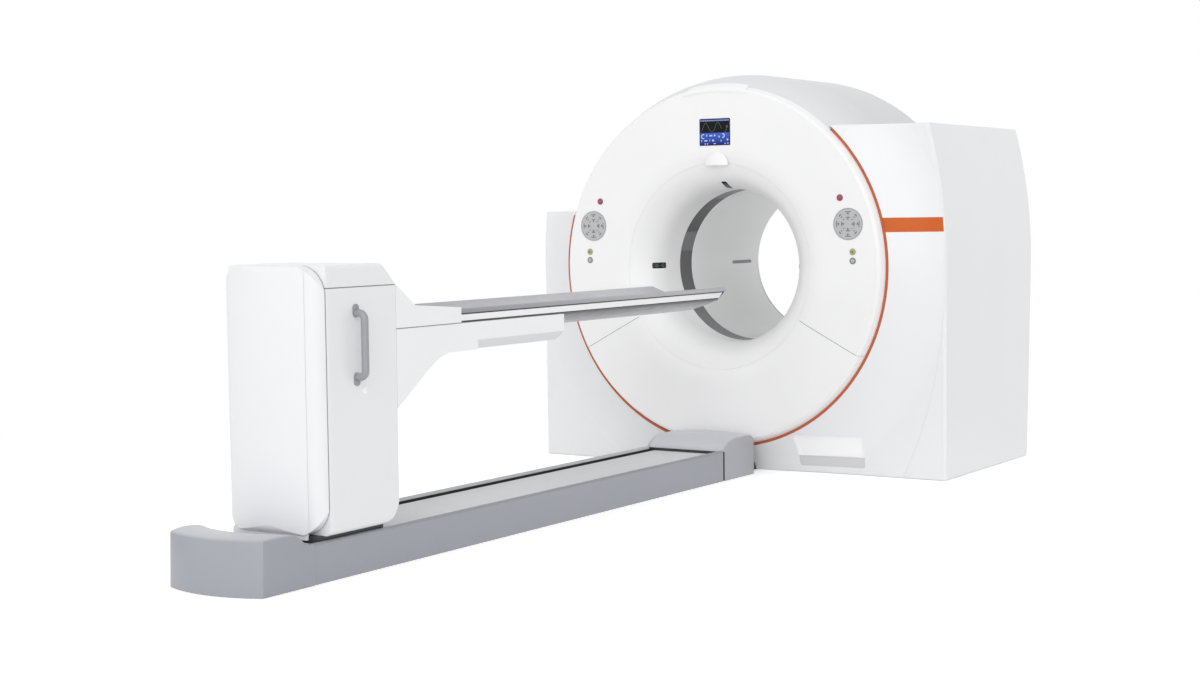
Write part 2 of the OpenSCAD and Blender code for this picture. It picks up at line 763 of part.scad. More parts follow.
module near_cap_solid(in) intersection() {
    slab_x(-cap_half + in, cap_half - in) polygon(concat([[near_cap_y - 5, in > 0 ? -5 : 0]],
        [[near_cap_y - 5, cap_h - 3 - in]],
        s_fall(-rail_near - 100, -rail_near - seat + (in > 0 ? 5 : 0), cap_h - in, rail_h - 4 - in),
        [[-rail_near - seat + (in > 0 ? 5 : 0), in > 0 ? -5 : 0]]));
    slab_y(near_cap_y - 10, -rail_near + 10) difference() {
        rect([-cap_half, -10], [cap_half, cap_h + 20]);
        translate([0, 187 - in + 1590]) circle(1590, $fn = 720);
    }
    slab_z(-10, cap_h + 20) translate([0, near_cap_y + 491]) circle(491 - in, $fn = 360);
}

module rail_near_cap() color([0.6, 0.62, 0.66]) difference() {
    near_cap_solid(0);
    near_cap_solid(cap_t);
}

far_cap_y = -rail_far + reveal;
far_cap_top = cap_h + 13;
far_cap_bow = 2200;
module far_cap_solid(in) intersection() {
    far_face = far_cap_y + far_cap_l - in;
    near_face = far_cap_y - (in > 0 ? 5 : 0);
    slab_x(-cap_half + in, cap_half - in) polygon(concat([[far_face, in > 0 ? -5 : 0], [far_face, cap_h - 40]],
        [for (a = [0 : 15 : 90]) [far_face - 40 + 40 * cos(a), far_cap_top - in - 40 + 40 * sin(a)]],
        reversed(quarter(near_face, far_cap_y + 150, rail_h - 4 - in, far_cap_top - in)),
        [[near_face, in > 0 ? -5 : 0]]));
    slab_y(far_cap_y - 10, far_cap_y + far_cap_l + 10) intersection() {
        rect([-cap_half, -10], [cap_half, cap_h + 30]);
        translate([0, far_cap_top - in - far_cap_bow]) circle(far_cap_bow, $fn = 720);
    }
}

module rail_far_cap() color([0.6, 0.62, 0.66]) difference() {
    far_cap_solid(0);
    far_cap_solid(cap_t);
    tongue_way();
}

// ---------- carriage and tower ----------

tower_mid = -(tower_near + tower_far) / 2;
plate_z = 62;
leg_x0 = slot_x + 3;
leg_x1 = rail_in - 5;
leg_l = 190;
deck_z = tower_foot + tower_t + seat;
motor_x0 = 30;
motor_x1 = 100;

module carriage_frame() color([0.3, 0.31, 0.33]) difference() {
    union() {
        translate([-leg_x1, tower_mid - 170, plate_z]) cube([2 * leg_x1, 340, 16]);
        for (s = [-1, 1]) translate([s * (leg_x0 + leg_x1) / 2, tower_mid, (plate_z + deck_z) / 2])
            cube([leg_x1 - leg_x0, leg_l, deck_z - plate_z + 4], center = true);
        translate([-leg_x1 - 10, tower_mid - leg_l / 2 - 10, deck_z]) cube([2 * leg_x1 + 20, leg_l + 20, 16]);
        for (s = [-1, 1], e = [-1, 1]) translate([s * guide_x, tower_mid + e * 120, (22 + plate_z) / 2])
            cube([52, 90, plate_z - 22], center = true);
        translate([motor_x1 + seat, tower_mid - 35, 36]) cube([12, 70, plate_z - 36]);
    }
    translate([-24, tower_mid - 42, plate_z - 1]) cube([motor_x1 + 24 + seat, 84, 18]);
    for (s = [-1, 1]) translate([s * guide_x, 0, 0]) slab_y(-rail_near, -rail_far) guide_section(seat);
}

module drive_motor() color([0.2, 0.2, 0.22]) translate([motor_x0, tower_mid, pinion_z]) rotate([0, 90, 0])
    difference() {
        cylinder(r = 29, h = motor_x1 - motor_x0);
        translate([0, 0, -1]) cylinder(r = 8 + slip, h = 26);
    }

base_r = pitch_r * cos(20);
tip_r = pitch_r + 0.8 * gear_m;
root_r = pitch_r - gear_m;
// Angle by which the involute has swung round at radius r
function swing(r) = let (k = sqrt(max(0, pow(r / base_r, 2) - 1))) (k * 180 / PI) - atan(k);
tooth_half = 90 / pinion_teeth - 0.25;
function flank(r) = tooth_half + swing(pitch_r) - swing(max(r, base_r));
flank_steps = 5;
function tooth(a) = concat(
    [for (i = [0 : flank_steps]) let (r = root_r + (tip_r - root_r) * i / flank_steps, b = a - flank(r))
        [r * cos(b), r * sin(b)]],
    [for (i = [flank_steps : -1 : 0]) let (r = root_r + (tip_r - root_r) * i / flank_steps, b = a + flank(r))
        [r * cos(b), r * sin(b)]]);

module drive_pinion() color([0.55, 0.55, 0.57]) translate([0, pinion_y, pinion_z]) {
    slab_x(-rack_half_w + 1, rack_half_w - 1)
        polygon([for (i = [0 : pinion_teeth - 1]) each tooth(90 + (i + 0.5) * 360 / pinion_teeth)]);
    translate([rack_half_w - 1, 0, 0]) rotate([0, 90, 0]) cylinder(r = 8, h = motor_x0 + 20 - rack_half_w);
}

tower_bow = 20;
bow_r = (pow(tower_w / 2 - 55, 2) + pow(tower_bow, 2)) / (2 * tower_bow);

// Plan of the tower, taken in by t
module tower_plan(t) intersection() {
    difference() {
        rect([-tower_w / 2 + t, -tower_near + t], [tower_w / 2 - t, -tower_far - t]);
        for (s = [-1, 1]) {
            nip([s * (tower_w / 2 - t), -tower_near + tower_bow + t], 66 - t, -s, 1);
            nip([s * (tower_w / 2 - t), -tower_far - t], 3, -s, -1);
        }
    }
    translate([0, -tower_near + bow_r]) circle(bow_r - t, $fn = 480);
}

// Side view of the tower, taken in by t
module tower_side(t) difference() {
    polygon([[-tower_near + t, tower_foot + t], [-tower_far - t, tower_foot + t],
        [-tower_far - t, tower_top - 82 - t * 0.41], [-tower_far - 84 - t * 0.41, tower_top - t],
        [-tower_near + t, tower_top - t]]);
    nip([-tower_near + t, tower_foot + t], 36 - t, 1, 1);
    nip([-tower_far - t, tower_foot + t], 100 - t, -1, 1);
    nip([-tower_near + t, tower_top - t], 24 - t, 1, -1);
}

// Front view of the tower, taken in by t, with upper and lower corners rounded; past sets the upper arcs
// beyond the top face, so that they run into it without a tangent
module tower_front(t, upper_r, lower_r, past = 0) difference() {
    rect([-tower_w / 2, tower_foot], [tower_w / 2, tower_top]);
    for (s = [-1, 1]) {
        nip([s * (tower_w / 2 - t), tower_top - t + past], upper_r - t, -s, -1);
        nip([s * (tower_w / 2 - t), tower_foot + t], lower_r - t, -s, 1);
    }
}

front_seam_y = -tower_near + 69;
panel_r = 120;     // round corners of the tower's front panel
module tower_solid(t) intersection() {
    slab_z(tower_foot - 10, tower_top + 10) tower_plan(t);
    slab_x(-tower_w, tower_w) tower_side(t);
    union() {
        slab_y(-tower_near - 10, front_seam_y + t) tower_front(t, panel_r, panel_r, flush);
        slab_y(front_seam_y + t, -tower_far + 10) tower_front(t, 14, 22);
    }
}

module tower_skin() difference() {
    tower_solid(0);
    tower_solid(tower_t);
}

// Everything in front of the tower's panel joint
module panel_zone(gap = 0) slab_y(-tower_near - 20, front_seam_y + gap) square([tower_w + 20, 3000], center = true);

// Shadow groove along a joint, cut into the outside of the tower
groove_w = 1;
groove_d = 1.5;
module tower_groove(y0, y1, z0, z1) difference() {
    slab_y(y0, y1) rect([-tower_w / 2 - 5, z0], [tower_w / 2 + 5, z1]);
    tower_solid(groove_d);
}

arm_slot_w = 330;
knob_y = -tower_far - 188;
knob_z = 672;
module tower_shell() color("white") difference() {
    tower_skin();
    panel_zone(seam);
    slab_z(cap_seam_z, tower_top + 10) square(9000, center = true);
    tower_groove(front_seam_y, front_seam_y + seam + groove_w, tower_foot + 30, cap_seam_z);
    tower_groove(front_seam_y, -tower_far - 10, cap_seam_z - groove_w, cap_seam_z);
    // way through the bottom for the carriage legs
    translate([0, tower_mid, tower_foot]) cube([2 * leg_x1 + 4, leg_l + 4, 3 * tower_t], center = true);
    // slot for the arm
    translate([0, -tower_far, 810]) cube([arm_slot_w, 3 * tower_t, 360], center = true);
    // release button
    translate([tower_w / 2 - 20, knob_y, knob_z]) rotate([0, 90, 0]) cylinder(r = 14 + seat, h = 40);
}

module tower_front_panel() color("white") intersection() {
    tower_skin();
    panel_zone();
}

module tower_top_cap() color("white") difference() {
    tower_skin();
    panel_zone(seam);
    slab_z(0, cap_seam_z + seam) square(9000, center = true);
    tower_groove(front_seam_y, front_seam_y + seam + groove_w, cap_seam_z, tower_top - 20);
    tower_groove(front_seam_y, -tower_far - 10, cap_seam_z + seam, cap_seam_z + seam + groove_w);
}

column_y0 = tower_mid - 100;
column_y1 = tower_mid + 20;
lift_rail_x = 70;
module lift_column() color([0.4, 0.42, 0.45]) {
    difference() {
        translate([-100, column_y0, deck_z + 16]) cube([200, column_y1 - column_y0, 860]);
        translate([-88, column_y0 + 12, deck_z + 15]) cube([176, column_y1 - column_y0 - 24, 850]);
    }
    for (s = [-1, 1]) translate([s * lift_rail_x, column_y1 + 12, deck_z + 16 + 430]) {
        cube([16, 24, 840], center = true);
    }
    translate([-30, column_y1, deck_z + 16]) cube([60, 60, 20]);
}

screw_y = column_y1 + 40;
module lift_screw() color([0.75, 0.76, 0.78]) translate([0, screw_y, deck_z + 36 + seat])
    cylinder(r = screw_r, h = 780);

module lift_motor() color([0.2, 0.2, 0.22]) translate([0, screw_y, deck_z + 36 + 780 + 2 * seat]) {
    translate([-36, column_y1 + seat - screw_y, 0]) cube([72, 76, 60]);
}

module arm_frame() color([0.3, 0.31, 0.33]) difference() {
    union() {
        // slide plate and its guide shoes
        translate([-110, column_y1 + 64, 620]) cube([220, 16, 325]);
        for (s = [-1, 1], z = [660, 905]) translate([s * lift_rail_x, column_y1 + 36, z])
            cube([44, 56, 80], center = true);
        // nut
        translate([-30, screw_y - 30, 800]) cube([60, 60, 60]);
        // cantilever beam under the pallet
        translate([-150, column_y1 + 80, beam_z0]) cube([300, -arm_end - 40 - column_y1 - 80, beam_z1 - beam_z0]);
        for (s = [-1, 1]) translate([s * 120, 0, 0]) slab_x(-8, 8)
            polygon([[column_y1 + 80, 660], [column_y1 + 80, beam_z0], [-2900, beam_z0]]);
    }
    for (s = [-1, 1]) translate([s * lift_rail_x, column_y1 + 12, 800])
        cube([16 + 2 * seat, 24 + 2 * seat, 900], center = true);
    translate([0, screw_y, 700]) cylinder(r = screw_r + slip, h = 300);
    belly_cut(seat);
}
beam_z0 = arm_bottom + tower_t + seat;
beam_z1 = 870;

// ---------- arm and pallet ----------

pallet_half = pallet_w / 2;
belly_edge_z = 880;
belly_r = (pow(pallet_half - 15, 2) + pow(belly_edge_z - pallet_belly, 2)) / (2 * (belly_edge_z - pallet_belly));
dish_r = (pow(pallet_half - 12, 2) + pow(pallet_dish, 2)) / (2 * pallet_dish);
pallet_root = tower_far - 122;
pallet_near_y = -pallet_root;

// Round belly of the pallet, grown by gap
module belly_cut(gap) slab_y(-tower_far - 300, -pallet_tip + 300) intersection() {
    translate([0, pallet_belly + belly_r]) circle(belly_r + gap, $fn = 720);
    rect([-pallet_half - gap, 700], [pallet_half + gap, belly_edge_z + 200]);
}

// The same with the pallet's upright sides
module pallet_way(gap) {
    belly_cut(gap);
    slab_y(-tower_far - 300, -pallet_tip + 300)
        rect([-pallet_half - gap, belly_edge_z - gap], [pallet_half + gap, belly_edge_z + 200]);
}

module arm_side(t) difference() {
    polygon([[-tower_far + seam + (t > 0 ? -5 : 0), head_seam_z - seam - (t > 0 ? -5 : 0)],
        [-arm_end - t, head_seam_z - seam - (t > 0 ? -5 : 0)],
        [-arm_end - t, arm_bottom + 10 + t], [-arm_end - 10 - t, arm_bottom + t],
        [-2885, arm_bottom + t], [-2950, arm_bottom - 17 + t], [-3020, arm_bottom - 58 + t],
        [-tower_far + seam + (t > 0 ? -5 : 0), 590 + t * 1.2]]);
}

chamfer_y = -2700;
module arm_solid(t) difference() {
    slab_x(-tower_w / 2 + t, tower_w / 2 - t) arm_side(t);
    // chamfered lower edges
    both_sides() slab_y(chamfer_y, -arm_end + 10) translate([tower_w / 2 - 0.7 * t, arm_bottom + 0.7 * t])
        polygon([[-50, -9.5], [10, 47.5], [10, -9.5]]);
}

module arm_cover() color("white") difference() {
    union() {
        difference() {
            arm_solid(0);
            arm_solid(tower_t);
        }
        // flanges turned in towards the pallet
        both_sides() translate([pallet_half + seam, -tower_far + seam, head_seam_z - seam - tower_t])
            cube([tower_w / 2 - pallet_half - seam - 1, tower_far - seam - arm_end, tower_t]);
    }
    pallet_way(seam);
    // shadow groove under the head
    both_sides() translate([tower_w / 2 - groove_d, -tower_far - 5, head_seam_z - seam - groove_w])
        cube([groove_d + 1, tower_far - arm_end - 60, groove_w + 1]);
}

module arm_head() color("white") {
    difference() {
        slab_x(-tower_w / 2, tower_w / 2) polygon([[-tower_far + seam, head_seam_z],
            [-tower_far + seam, tower_top - 82], [-tower_far + 117, 969], [-cheek_end, 948],
            [-cheek_end, head_seam_z]]);
        slab_x(-tower_w / 2 + tower_t, tower_w / 2 - tower_t) polygon([[-tower_far - 5, head_seam_z - 1],
            [-tower_far - 5, tower_top - 92], [pallet_near_y - 4, 962], [pallet_near_y - 4, head_seam_z - 1]]);
        translate([-pallet_half - 0.4, pallet_near_y - seat, head_seam_z - 1]) cube([pallet_w + 0.8, 400, 200]);
    }
}

strip_z0 = pallet_top - 49;
strip_z1 = pallet_top - 25;
strip_t = 4;
// Upright groove-backed core, rounded upper rims, round belly
module pallet_section() {
    difference() {
        rect([-pallet_half, strip_z1 + 6], [pallet_half, pallet_top]);
        for (s = [-1, 1]) nip([s * pallet_half, pallet_top], 12, -s, -1);
    }
    rect([-pallet_half + strip_t + 2, belly_edge_z], [pallet_half - strip_t - 2, strip_z1 + 7]);
    intersection() {
        translate([0, pallet_belly + belly_r]) circle(belly_r, $fn = 720);
        rect([-pallet_half + strip_t + 2, 700], [pallet_half - strip_t - 2, belly_edge_z + 10]);
    }
}

module pallet() color([0.62, 0.63, 0.66]) difference() {
    slab_y(pallet_near_y, -pallet_tip) pallet_section();
    // hollow on top
    slab_y(pallet_near_y - 1, -pallet_tip + 1) intersection() {
        translate([0, pallet_top - pallet_dish + dish_r]) circle(dish_r, $fn = 720);
        rect([-pallet_half + 12, 880], [pallet_half - 12, pallet_top + 5]);
    }
    // raked end
    slab_x(-pallet_half - 1, pallet_half + 1) polygon([for (p = [[1, 10], [-1, -16], [-22, -32], [-63, -51],
        [-108, -88], [-150, -122], [1, -122]]) [-pallet_tip + p[0], pallet_top + p[1]]]);
}

module pallet_side_rails() color([0.85, 0.85, 0.86]) both_sides()
    slab_x(pallet_half - strip_t - 2 + seat, pallet_half - 2 + seat)
        polygon([[pallet_near_y + 4, strip_z0], [-pallet_tip - 68, strip_z0],
            [-pallet_tip - 34, strip_z1], [pallet_near_y + 4, strip_z1]]);

// ---------- tower fittings ----------

handle_y = -tower_far - 233;
handle_out = 43;
bar_r = 14;
bend_r = 24;
foot_l = 17;
module grab_handle() color([0.62, 0.63, 0.66]) translate([tower_w / 2, handle_y, handle_z]) {
    for (s = [-1, 1]) {
        translate([0, 0, s * (handle_l / 2 - 12)]) rotate([0, 90, 0]) {
            cylinder(r = bar_r, h = handle_out - bend_r);
            // oblong foot that reaches past the bar
            for (x = [0, 1]) translate([-s * x * foot_l, 0, 0]) cylinder(r = bar_r + 2, h = 5);
            translate([s > 0 ? -foot_l : 0, -bar_r - 2, 0]) cube([foot_l, 2 * bar_r + 4, 5]);
        }
        translate([handle_out - bend_r, 0, s * (handle_l / 2 - 12 - bend_r)]) rotate([90, 0, 0])
            rotate(s > 0 ? 0 : -90) rotate_extrude(angle = 90) translate([bend_r, 0]) circle(bar_r, $fn = 48);
    }
    translate([handle_out, 0, 0]) cylinder(r = bar_r, h = handle_l - 24 - 2 * bend_r, center = true);
}

module release_button() color("white") translate([tower_w / 2, knob_y, knob_z]) rotate([0, 90, 0])
    rotate_extrude() {
        rect([0, -tower_t - seat], [14, 2]);
        intersection() {
            translate([0, 5 - 24]) circle(24);
            rect([0, 2], [14, 6]);
        }
        rect([0, -tower_t - seat - 2], [17, -tower_t - seat]);
    }

base_frame();
front_cover_upper();
front_cover_lower();
bore_mouth();
rim_cap();
scan_window();
bore_liner();
rear_cover();
barrel_shell();
right_side_cover();
right_side_door();
left_side_cover();
trim_strip();
side_band();
display_panel();
keypad_left();
keypad_right();
laser_windows();
liner_laser_windows();
service_flap();
recess_plate();
stator_frame();
main_bearing();
torque_motor();
pet_detectors();
electronics_cabinet_left();
electronics_cabinet_right();
rotor_drum();
xray_tube();
xray_generator();
detector_arc();
slip_ring();
stop_button_left();
stop_button_right();
start_button_left();
start_button_right();
call_button_left();
call_button_right();
rail_channel();
rail_cover_band();
guide_rails();
drive_rack();
rail_near_cap();
rail_far_cap();
carriage_frame();
drive_motor();
drive_pinion();
tower_shell();
tower_front_panel();
tower_top_cap();
lift_column();
lift_motor();
lift_screw();
grab_handle();
release_button();
arm_frame();
arm_cover();
arm_head();
pallet();
pallet_side_rails();
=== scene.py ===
import math
import bpy
import bmesh
from mathutils import Matrix, Vector
from mathutils.bvhtree import BVHTree


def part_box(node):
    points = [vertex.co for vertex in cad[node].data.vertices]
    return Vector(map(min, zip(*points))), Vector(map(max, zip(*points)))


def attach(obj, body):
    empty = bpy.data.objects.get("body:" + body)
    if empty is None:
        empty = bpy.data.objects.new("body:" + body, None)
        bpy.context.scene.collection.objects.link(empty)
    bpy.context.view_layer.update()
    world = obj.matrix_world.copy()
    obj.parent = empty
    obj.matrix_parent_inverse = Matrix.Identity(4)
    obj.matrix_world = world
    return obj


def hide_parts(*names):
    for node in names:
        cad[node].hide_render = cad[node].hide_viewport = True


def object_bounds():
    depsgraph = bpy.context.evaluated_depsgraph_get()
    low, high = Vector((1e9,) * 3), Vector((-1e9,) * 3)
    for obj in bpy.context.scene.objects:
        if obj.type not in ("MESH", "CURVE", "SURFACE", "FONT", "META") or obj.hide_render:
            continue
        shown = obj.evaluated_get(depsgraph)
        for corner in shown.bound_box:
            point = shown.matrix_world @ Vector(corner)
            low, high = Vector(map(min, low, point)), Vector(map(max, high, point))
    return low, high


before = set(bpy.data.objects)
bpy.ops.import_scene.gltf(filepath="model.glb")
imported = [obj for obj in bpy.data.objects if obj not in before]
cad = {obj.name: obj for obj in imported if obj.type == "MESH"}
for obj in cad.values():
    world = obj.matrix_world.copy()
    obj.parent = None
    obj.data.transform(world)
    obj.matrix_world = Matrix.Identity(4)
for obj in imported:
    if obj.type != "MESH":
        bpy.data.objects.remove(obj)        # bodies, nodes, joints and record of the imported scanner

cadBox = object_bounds()
scene = bpy.context.scene
fixedBody = "gantry_and_rail"


def corners(node):
    return [Vector(corner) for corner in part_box(node)]


boreAxis = Vector((0, 0, sum(corner.z for corner in corners("bore_liner")) / 2))

# camera, stood where the table's near end and the gantry's right side both show
cameraSet = {"lens": 57.24, "place": (4.717, -8.744, 1.307), "yaw": 32.89, "pitch": 3.73, "roll": -0.71}


def makeCamera():
    yaw, pitch, roll = (math.radians(cameraSet[k]) for k in ("yaw", "pitch", "roll"))
    ahead = Vector((-math.sin(yaw) * math.cos(pitch), math.cos(yaw) * math.cos(pitch), -math.sin(pitch)))
    level = Vector((math.cos(yaw), math.sin(yaw), 0))
    upright = level.cross(ahead)
    right = math.cos(roll) * level + math.sin(roll) * upright
    up = math.cos(roll) * upright - math.sin(roll) * level
    data = bpy.data.cameras.new("camera")
    data.lens = cameraSet["lens"]
    data.sensor_width = 36
    data.clip_end = 200
    camera = bpy.data.objects.new("camera", data)
    turned = Matrix((right, up, -ahead)).transposed().to_4x4()
    camera.matrix_world = Matrix.Translation(cameraSet["place"]) @ turned
    scene.collection.objects.link(camera)
    scene.camera = camera


makeCamera()
print("camera ready")


# small helpers for shader trees
def newMaterial(name, colour, rough, metal=0.0):
    material = bpy.data.materials.new(name)
    material.use_nodes = True
    shader = material.node_tree.nodes["Principled BSDF"]
    shader.inputs["Base Color"].default_value = (*colour, 1)
    shader.inputs["Roughness"].default_value = rough
    shader.inputs["Metallic"].default_value = metal
    return material, material.node_tree, shader


def coordinates(tree, centre=(0, 0, 0), scale=(1, 1, 1)):
    place = tree.nodes.new("ShaderNodeTexCoord")
    shift = tree.nodes.new("ShaderNodeMapping")
    shift.vector_type = "TEXTURE"
    shift.inputs["Location"].default_value = centre
    shift.inputs["Scale"].default_value = scale
    tree.links.new(place.outputs["Object"], shift.inputs["Vector"])
    return shift.outputs["Vector"]


def noise(tree, vector, size, detail=2.0):
    grain = tree.nodes.new("ShaderNodeTexNoise")
    grain.inputs["Scale"].default_value = 1 / size
    grain.inputs["Detail"].default_value = detail
    tree.links.new(vector, grain.inputs["Vector"])
    return grain.outputs["Fac"]


def ramp(tree, factor, stops):
    node = tree.nodes.new("ShaderNodeValToRGB")
    while len(node.color_ramp.elements) < len(stops):
        node.color_ramp.elements.new(0.5)
    for element, (place, colour) in zip(node.color_ramp.elements, stops):
        element.position = place
        element.color = (*colour, 1)
    tree.links.new(factor, node.inputs["Fac"])
    return node.outputs["Color"]


def spread(tree, factor, low, high, fromLow=0.3, fromHigh=0.7):
    node = tree.nodes.new("ShaderNodeMapRange")
    node.inputs["From Min"].default_value = fromLow
    node.inputs["From Max"].default_value = fromHigh
    node.inputs["To Min"].default_value = low
    node.inputs["To Max"].default_value = high
    tree.links.new(factor, node.inputs["Value"])
    return node.outputs["Result"]


def bump(tree, shader, height, depth, strength=1.0):
    node = tree.nodes.new("ShaderNodeBump")
    node.inputs["Strength"].default_value = strength
    node.inputs["Distance"].default_value = depth
    tree.links.new(height, node.inputs["Height"])
    tree.links.new(node.outputs["Normal"], shader.inputs["Normal"])


def calculate(tree, operation, *values):
    node = tree.nodes.new("ShaderNodeMath")
    node.operation = operation
    for value, socket in zip(values, node.inputs):
        tree.links.new(value, socket)
    return node.outputs[0]


def axisValue(tree, axis, plane=0):
    split = tree.nodes.new("ShaderNodeSeparateXYZ")
    centre = [plane if name == axis else 0 for name in "XYZ"]
    tree.links.new(coordinates(tree, centre=centre), split.inputs["Vector"])
    return split.outputs[axis]


def distanceFrom(tree, axis, plane=0):
    return calculate(tree, "ABSOLUTE", axisValue(tree, axis, plane))


def radiusFrom(tree, centre, scale):
    away = tree.nodes.new("ShaderNodeVectorMath")
    away.operation = "LENGTH"
    tree.links.new(coordinates(tree, centre, scale), away.inputs[0])
    return away.outputs["Value"]


def shade(colour, amount):
    return tuple(c * amount for c in colour)


# a socket is linked, a colour or a number is set
def feed(tree, value, socket):
    if isinstance(value, bpy.types.NodeSocket):
        tree.links.new(value, socket)
    else:
        socket.default_value = (*value, 1) if isinstance(value, tuple) else value


def mixTone(tree, colour, factor, tone, blend="MIX"):
    mix = tree.nodes.new("ShaderNodeMix")
    mix.data_type = "RGBA"
    mix.blend_type = blend
    for value, name in ((factor, "Factor"), (colour, "A"), (tone, "B")):
        feed(tree, value, mix.inputs[name])
    return mix.outputs["Result"]


# dark line of a joint or gasket, along a plane at one coordinate
def jointLine(tree, colour, axis, place, width, tone=(0.24, 0.245, 0.25)):
    near = spread(tree, distanceFrom(tree, axis, place), 1, 0, width * 0.9, width * 1.1)
    return mixTone(tree, colour, near, tone)


# tone that comes in where the distance from a plane across one axis passes from one value to another
def toneAlong(tree, colour, axis, low, high, tone, plane=0):
    return mixTone(tree, colour, spread(tree, distanceFrom(tree, axis, plane), 0, 1, low, high), tone)


# further tones laid over the paint a material already has
def overlay(material, *changes):
    tree = material.node_tree
    shader = tree.nodes["Principled BSDF"]
    paint = shader.inputs["Base Color"].links[0].from_socket
    for change in changes:
        paint = toneAlong(tree, paint, *change)
    tree.links.new(paint, shader.inputs["Base Color"])
    return material


def dress(material, *names):
    for name in names:
        cad[name].data.materials.clear()
        cad[name].data.materials.append(material)


# sprayed or moulded cover: a slow drift of tone, a faint orange peel and an uneven gloss
coverFinish = {"peel": 0.006, "peelDepth": 0.000006, "drift": 0.35, "driftAmount": 0.012, "coat": 0.2}


def coverMaterial(name, colour, rough, joints=()):
    material, tree, shader = newMaterial(name, colour, rough)
    place = coordinates(tree)
    drift = noise(tree, place, coverFinish["drift"])
    low, high = 1 - coverFinish["driftAmount"], 1.0
    paint = ramp(tree, drift, [(0.35, shade(colour, low)), (0.65, shade(colour, high))])
    for axis, spot, width in joints:
        paint = jointLine(tree, paint, axis, spot, width)
    tree.links.new(paint, shader.inputs["Base Color"])
    tree.links.new(spread(tree, noise(tree, place, 0.09), rough, rough + 0.05), shader.inputs["Roughness"])
    bump(tree, shader, noise(tree, place, coverFinish["peel"]), coverFinish["peelDepth"])
    shader.inputs["Coat Weight"].default_value = coverFinish["coat"]
    shader.inputs["Coat Roughness"].default_value = 0.12
    return material


# powder coat or cast surface: fine speckle and grain
def grainMaterial(name, colour, rough, metal=0.0, size=0.004, depth=0.00002, speckle=0.02):
    material, tree, shader = newMaterial(name, colour, rough, metal)
    place = coordinates(tree)
    grain = noise(tree, place, size, 3.0)
    tree.links.new(ramp(tree, grain, [(0.35, shade(colour, 1 - speckle)), (0.65, shade(colour, 1 + speckle))]),
                   shader.inputs["Base Color"])
    gloss = spread(tree, noise(tree, place, size * 40), rough - 0.05, rough + 0.05)
    tree.links.new(gloss, shader.inputs["Roughness"])
    bump(tree, shader, grain, depth)
    return material


# drawn or ground metal: lines along one axis
def drawnMaterial(name, colour, rough, along, metal=1.0, lines=0.0006):
    material, tree, shader = newMaterial(name, colour, rough, metal)
    stretch = [1, 1, 1]
    stretch["xyz".index(along)] = 60
    streak = noise(tree, coordinates(tree, scale=stretch), lines, 2.0)
    tree.links.new(ramp(tree, streak, [(0.3, shade(colour, 0.9)), (0.7, shade(colour, 1.05))]),
                   shader.inputs["Base Color"])
    tree.links.new(spread(tree, streak, rough - 0.06, rough + 0.08), shader.inputs["Roughness"])
    bump(tree, shader, streak, 0.00002)
    return material


# gantry covers
gantryPaint = {"cover": (0.815, 0.82, 0.832), "ring": (0.875, 0.875, 0.877), "barrel": (0.62, 0.632, 0.655),
               "front": (0.70, 0.71, 0.728), "flap": (0.93, 0.93, 0.932), "recess": (0.64, 0.64, 0.65), "rough": 0.31}
# the side covers get a darker copy of the ring's white, as painted shade on their faces
coverWhite = coverMaterial("coverWhite", gantryPaint["cover"], gantryPaint["rough"])
ringWhite = coverMaterial("ringWhite", gantryPaint["ring"], 0.32)
# barrel and rear cover: a darker copy of the cover white as painted shade, lighter towards the front rim as painted
# light
barrelWhite = coverMaterial("barrelWhite", gantryPaint["barrel"], 0.36)
dress(ringWhite, "front_cover_upper", "front_cover_lower", "bore_mouth", "rim_cap")
dress(coverWhite, "right_side_cover", "right_side_door", "left_side_cover")
overlay(barrelWhite, ("Y", 0.45, 0.85, gantryPaint["front"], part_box("barrel_shell")[1][1]))
dress(barrelWhite, "barrel_shell", "rear_cover")
dress(coverMaterial("flapWhite", gantryPaint["flap"], gantryPaint["rough"]), "service_flap")
# grey plate below the flap: painted shade of the recess under the sloping flap
dress(grainMaterial("recessGrey", gantryPaint["recess"], 0.5), "recess_plate")

# trim and band, one orange moulding
trimSet = {"trim": (0.53, 0.12, 0.045), "end": (0.26, 0.11, 0.06), "endLong": 0.012, "band": (0.60, 0.112, 0.01),
           "rough": 0.42}


def orangeMaterial(name, colour, endHeight=None):
    material, tree, shader = newMaterial(name, colour, trimSet["rough"])
    place = coordinates(tree)
    paint = ramp(tree, noise(tree, place, 0.12), [(0.3, shade(colour, 0.95)), (0.7, colour)])
    if endHeight:
        near = spread(tree, axisValue(tree, "Z"), 0, 1, endHeight - trimSet["endLong"], endHeight)
        paint = mixTone(tree, paint, near, trimSet["end"])
    tree.links.new(paint, shader.inputs["Base Color"])
    tree.links.new(spread(tree, noise(tree, place, 0.03), 0.38, 0.48), shader.inputs["Roughness"])
    bump(tree, shader, noise(tree, place, 0.005), 0.000006)
    shader.inputs["Specular IOR Level"].default_value = 0.3
    return material


dress(orangeMaterial("trimOrange", trimSet["trim"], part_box("trim_strip")[1][2]), "trim_strip")
dress(orangeMaterial("bandOrange", trimSet["band"]), "side_band")


# bore: satin liner lighter towards its top as painted light, smoked scan window with its inner rings and tone
# segments that are painted reflections, dark laser windows
boreSet = {"liner": (0.74, 0.743, 0.746), "linerTopLight": (0.92, 0.922, 0.925), "lip": (0.36, 0.365, 0.37),
           "lipWide": 0.014, "window": (0.105, 0.105, 0.11), "shine": 0.25,
           "tones": ((118, 1.45), (154, 0.38), (169, 1.6), (207, 0.95), (360, 1.35)),
           "glass": (0.012, 0.02, 0.017), "slot": (0.22, 0.22, 0.225)}


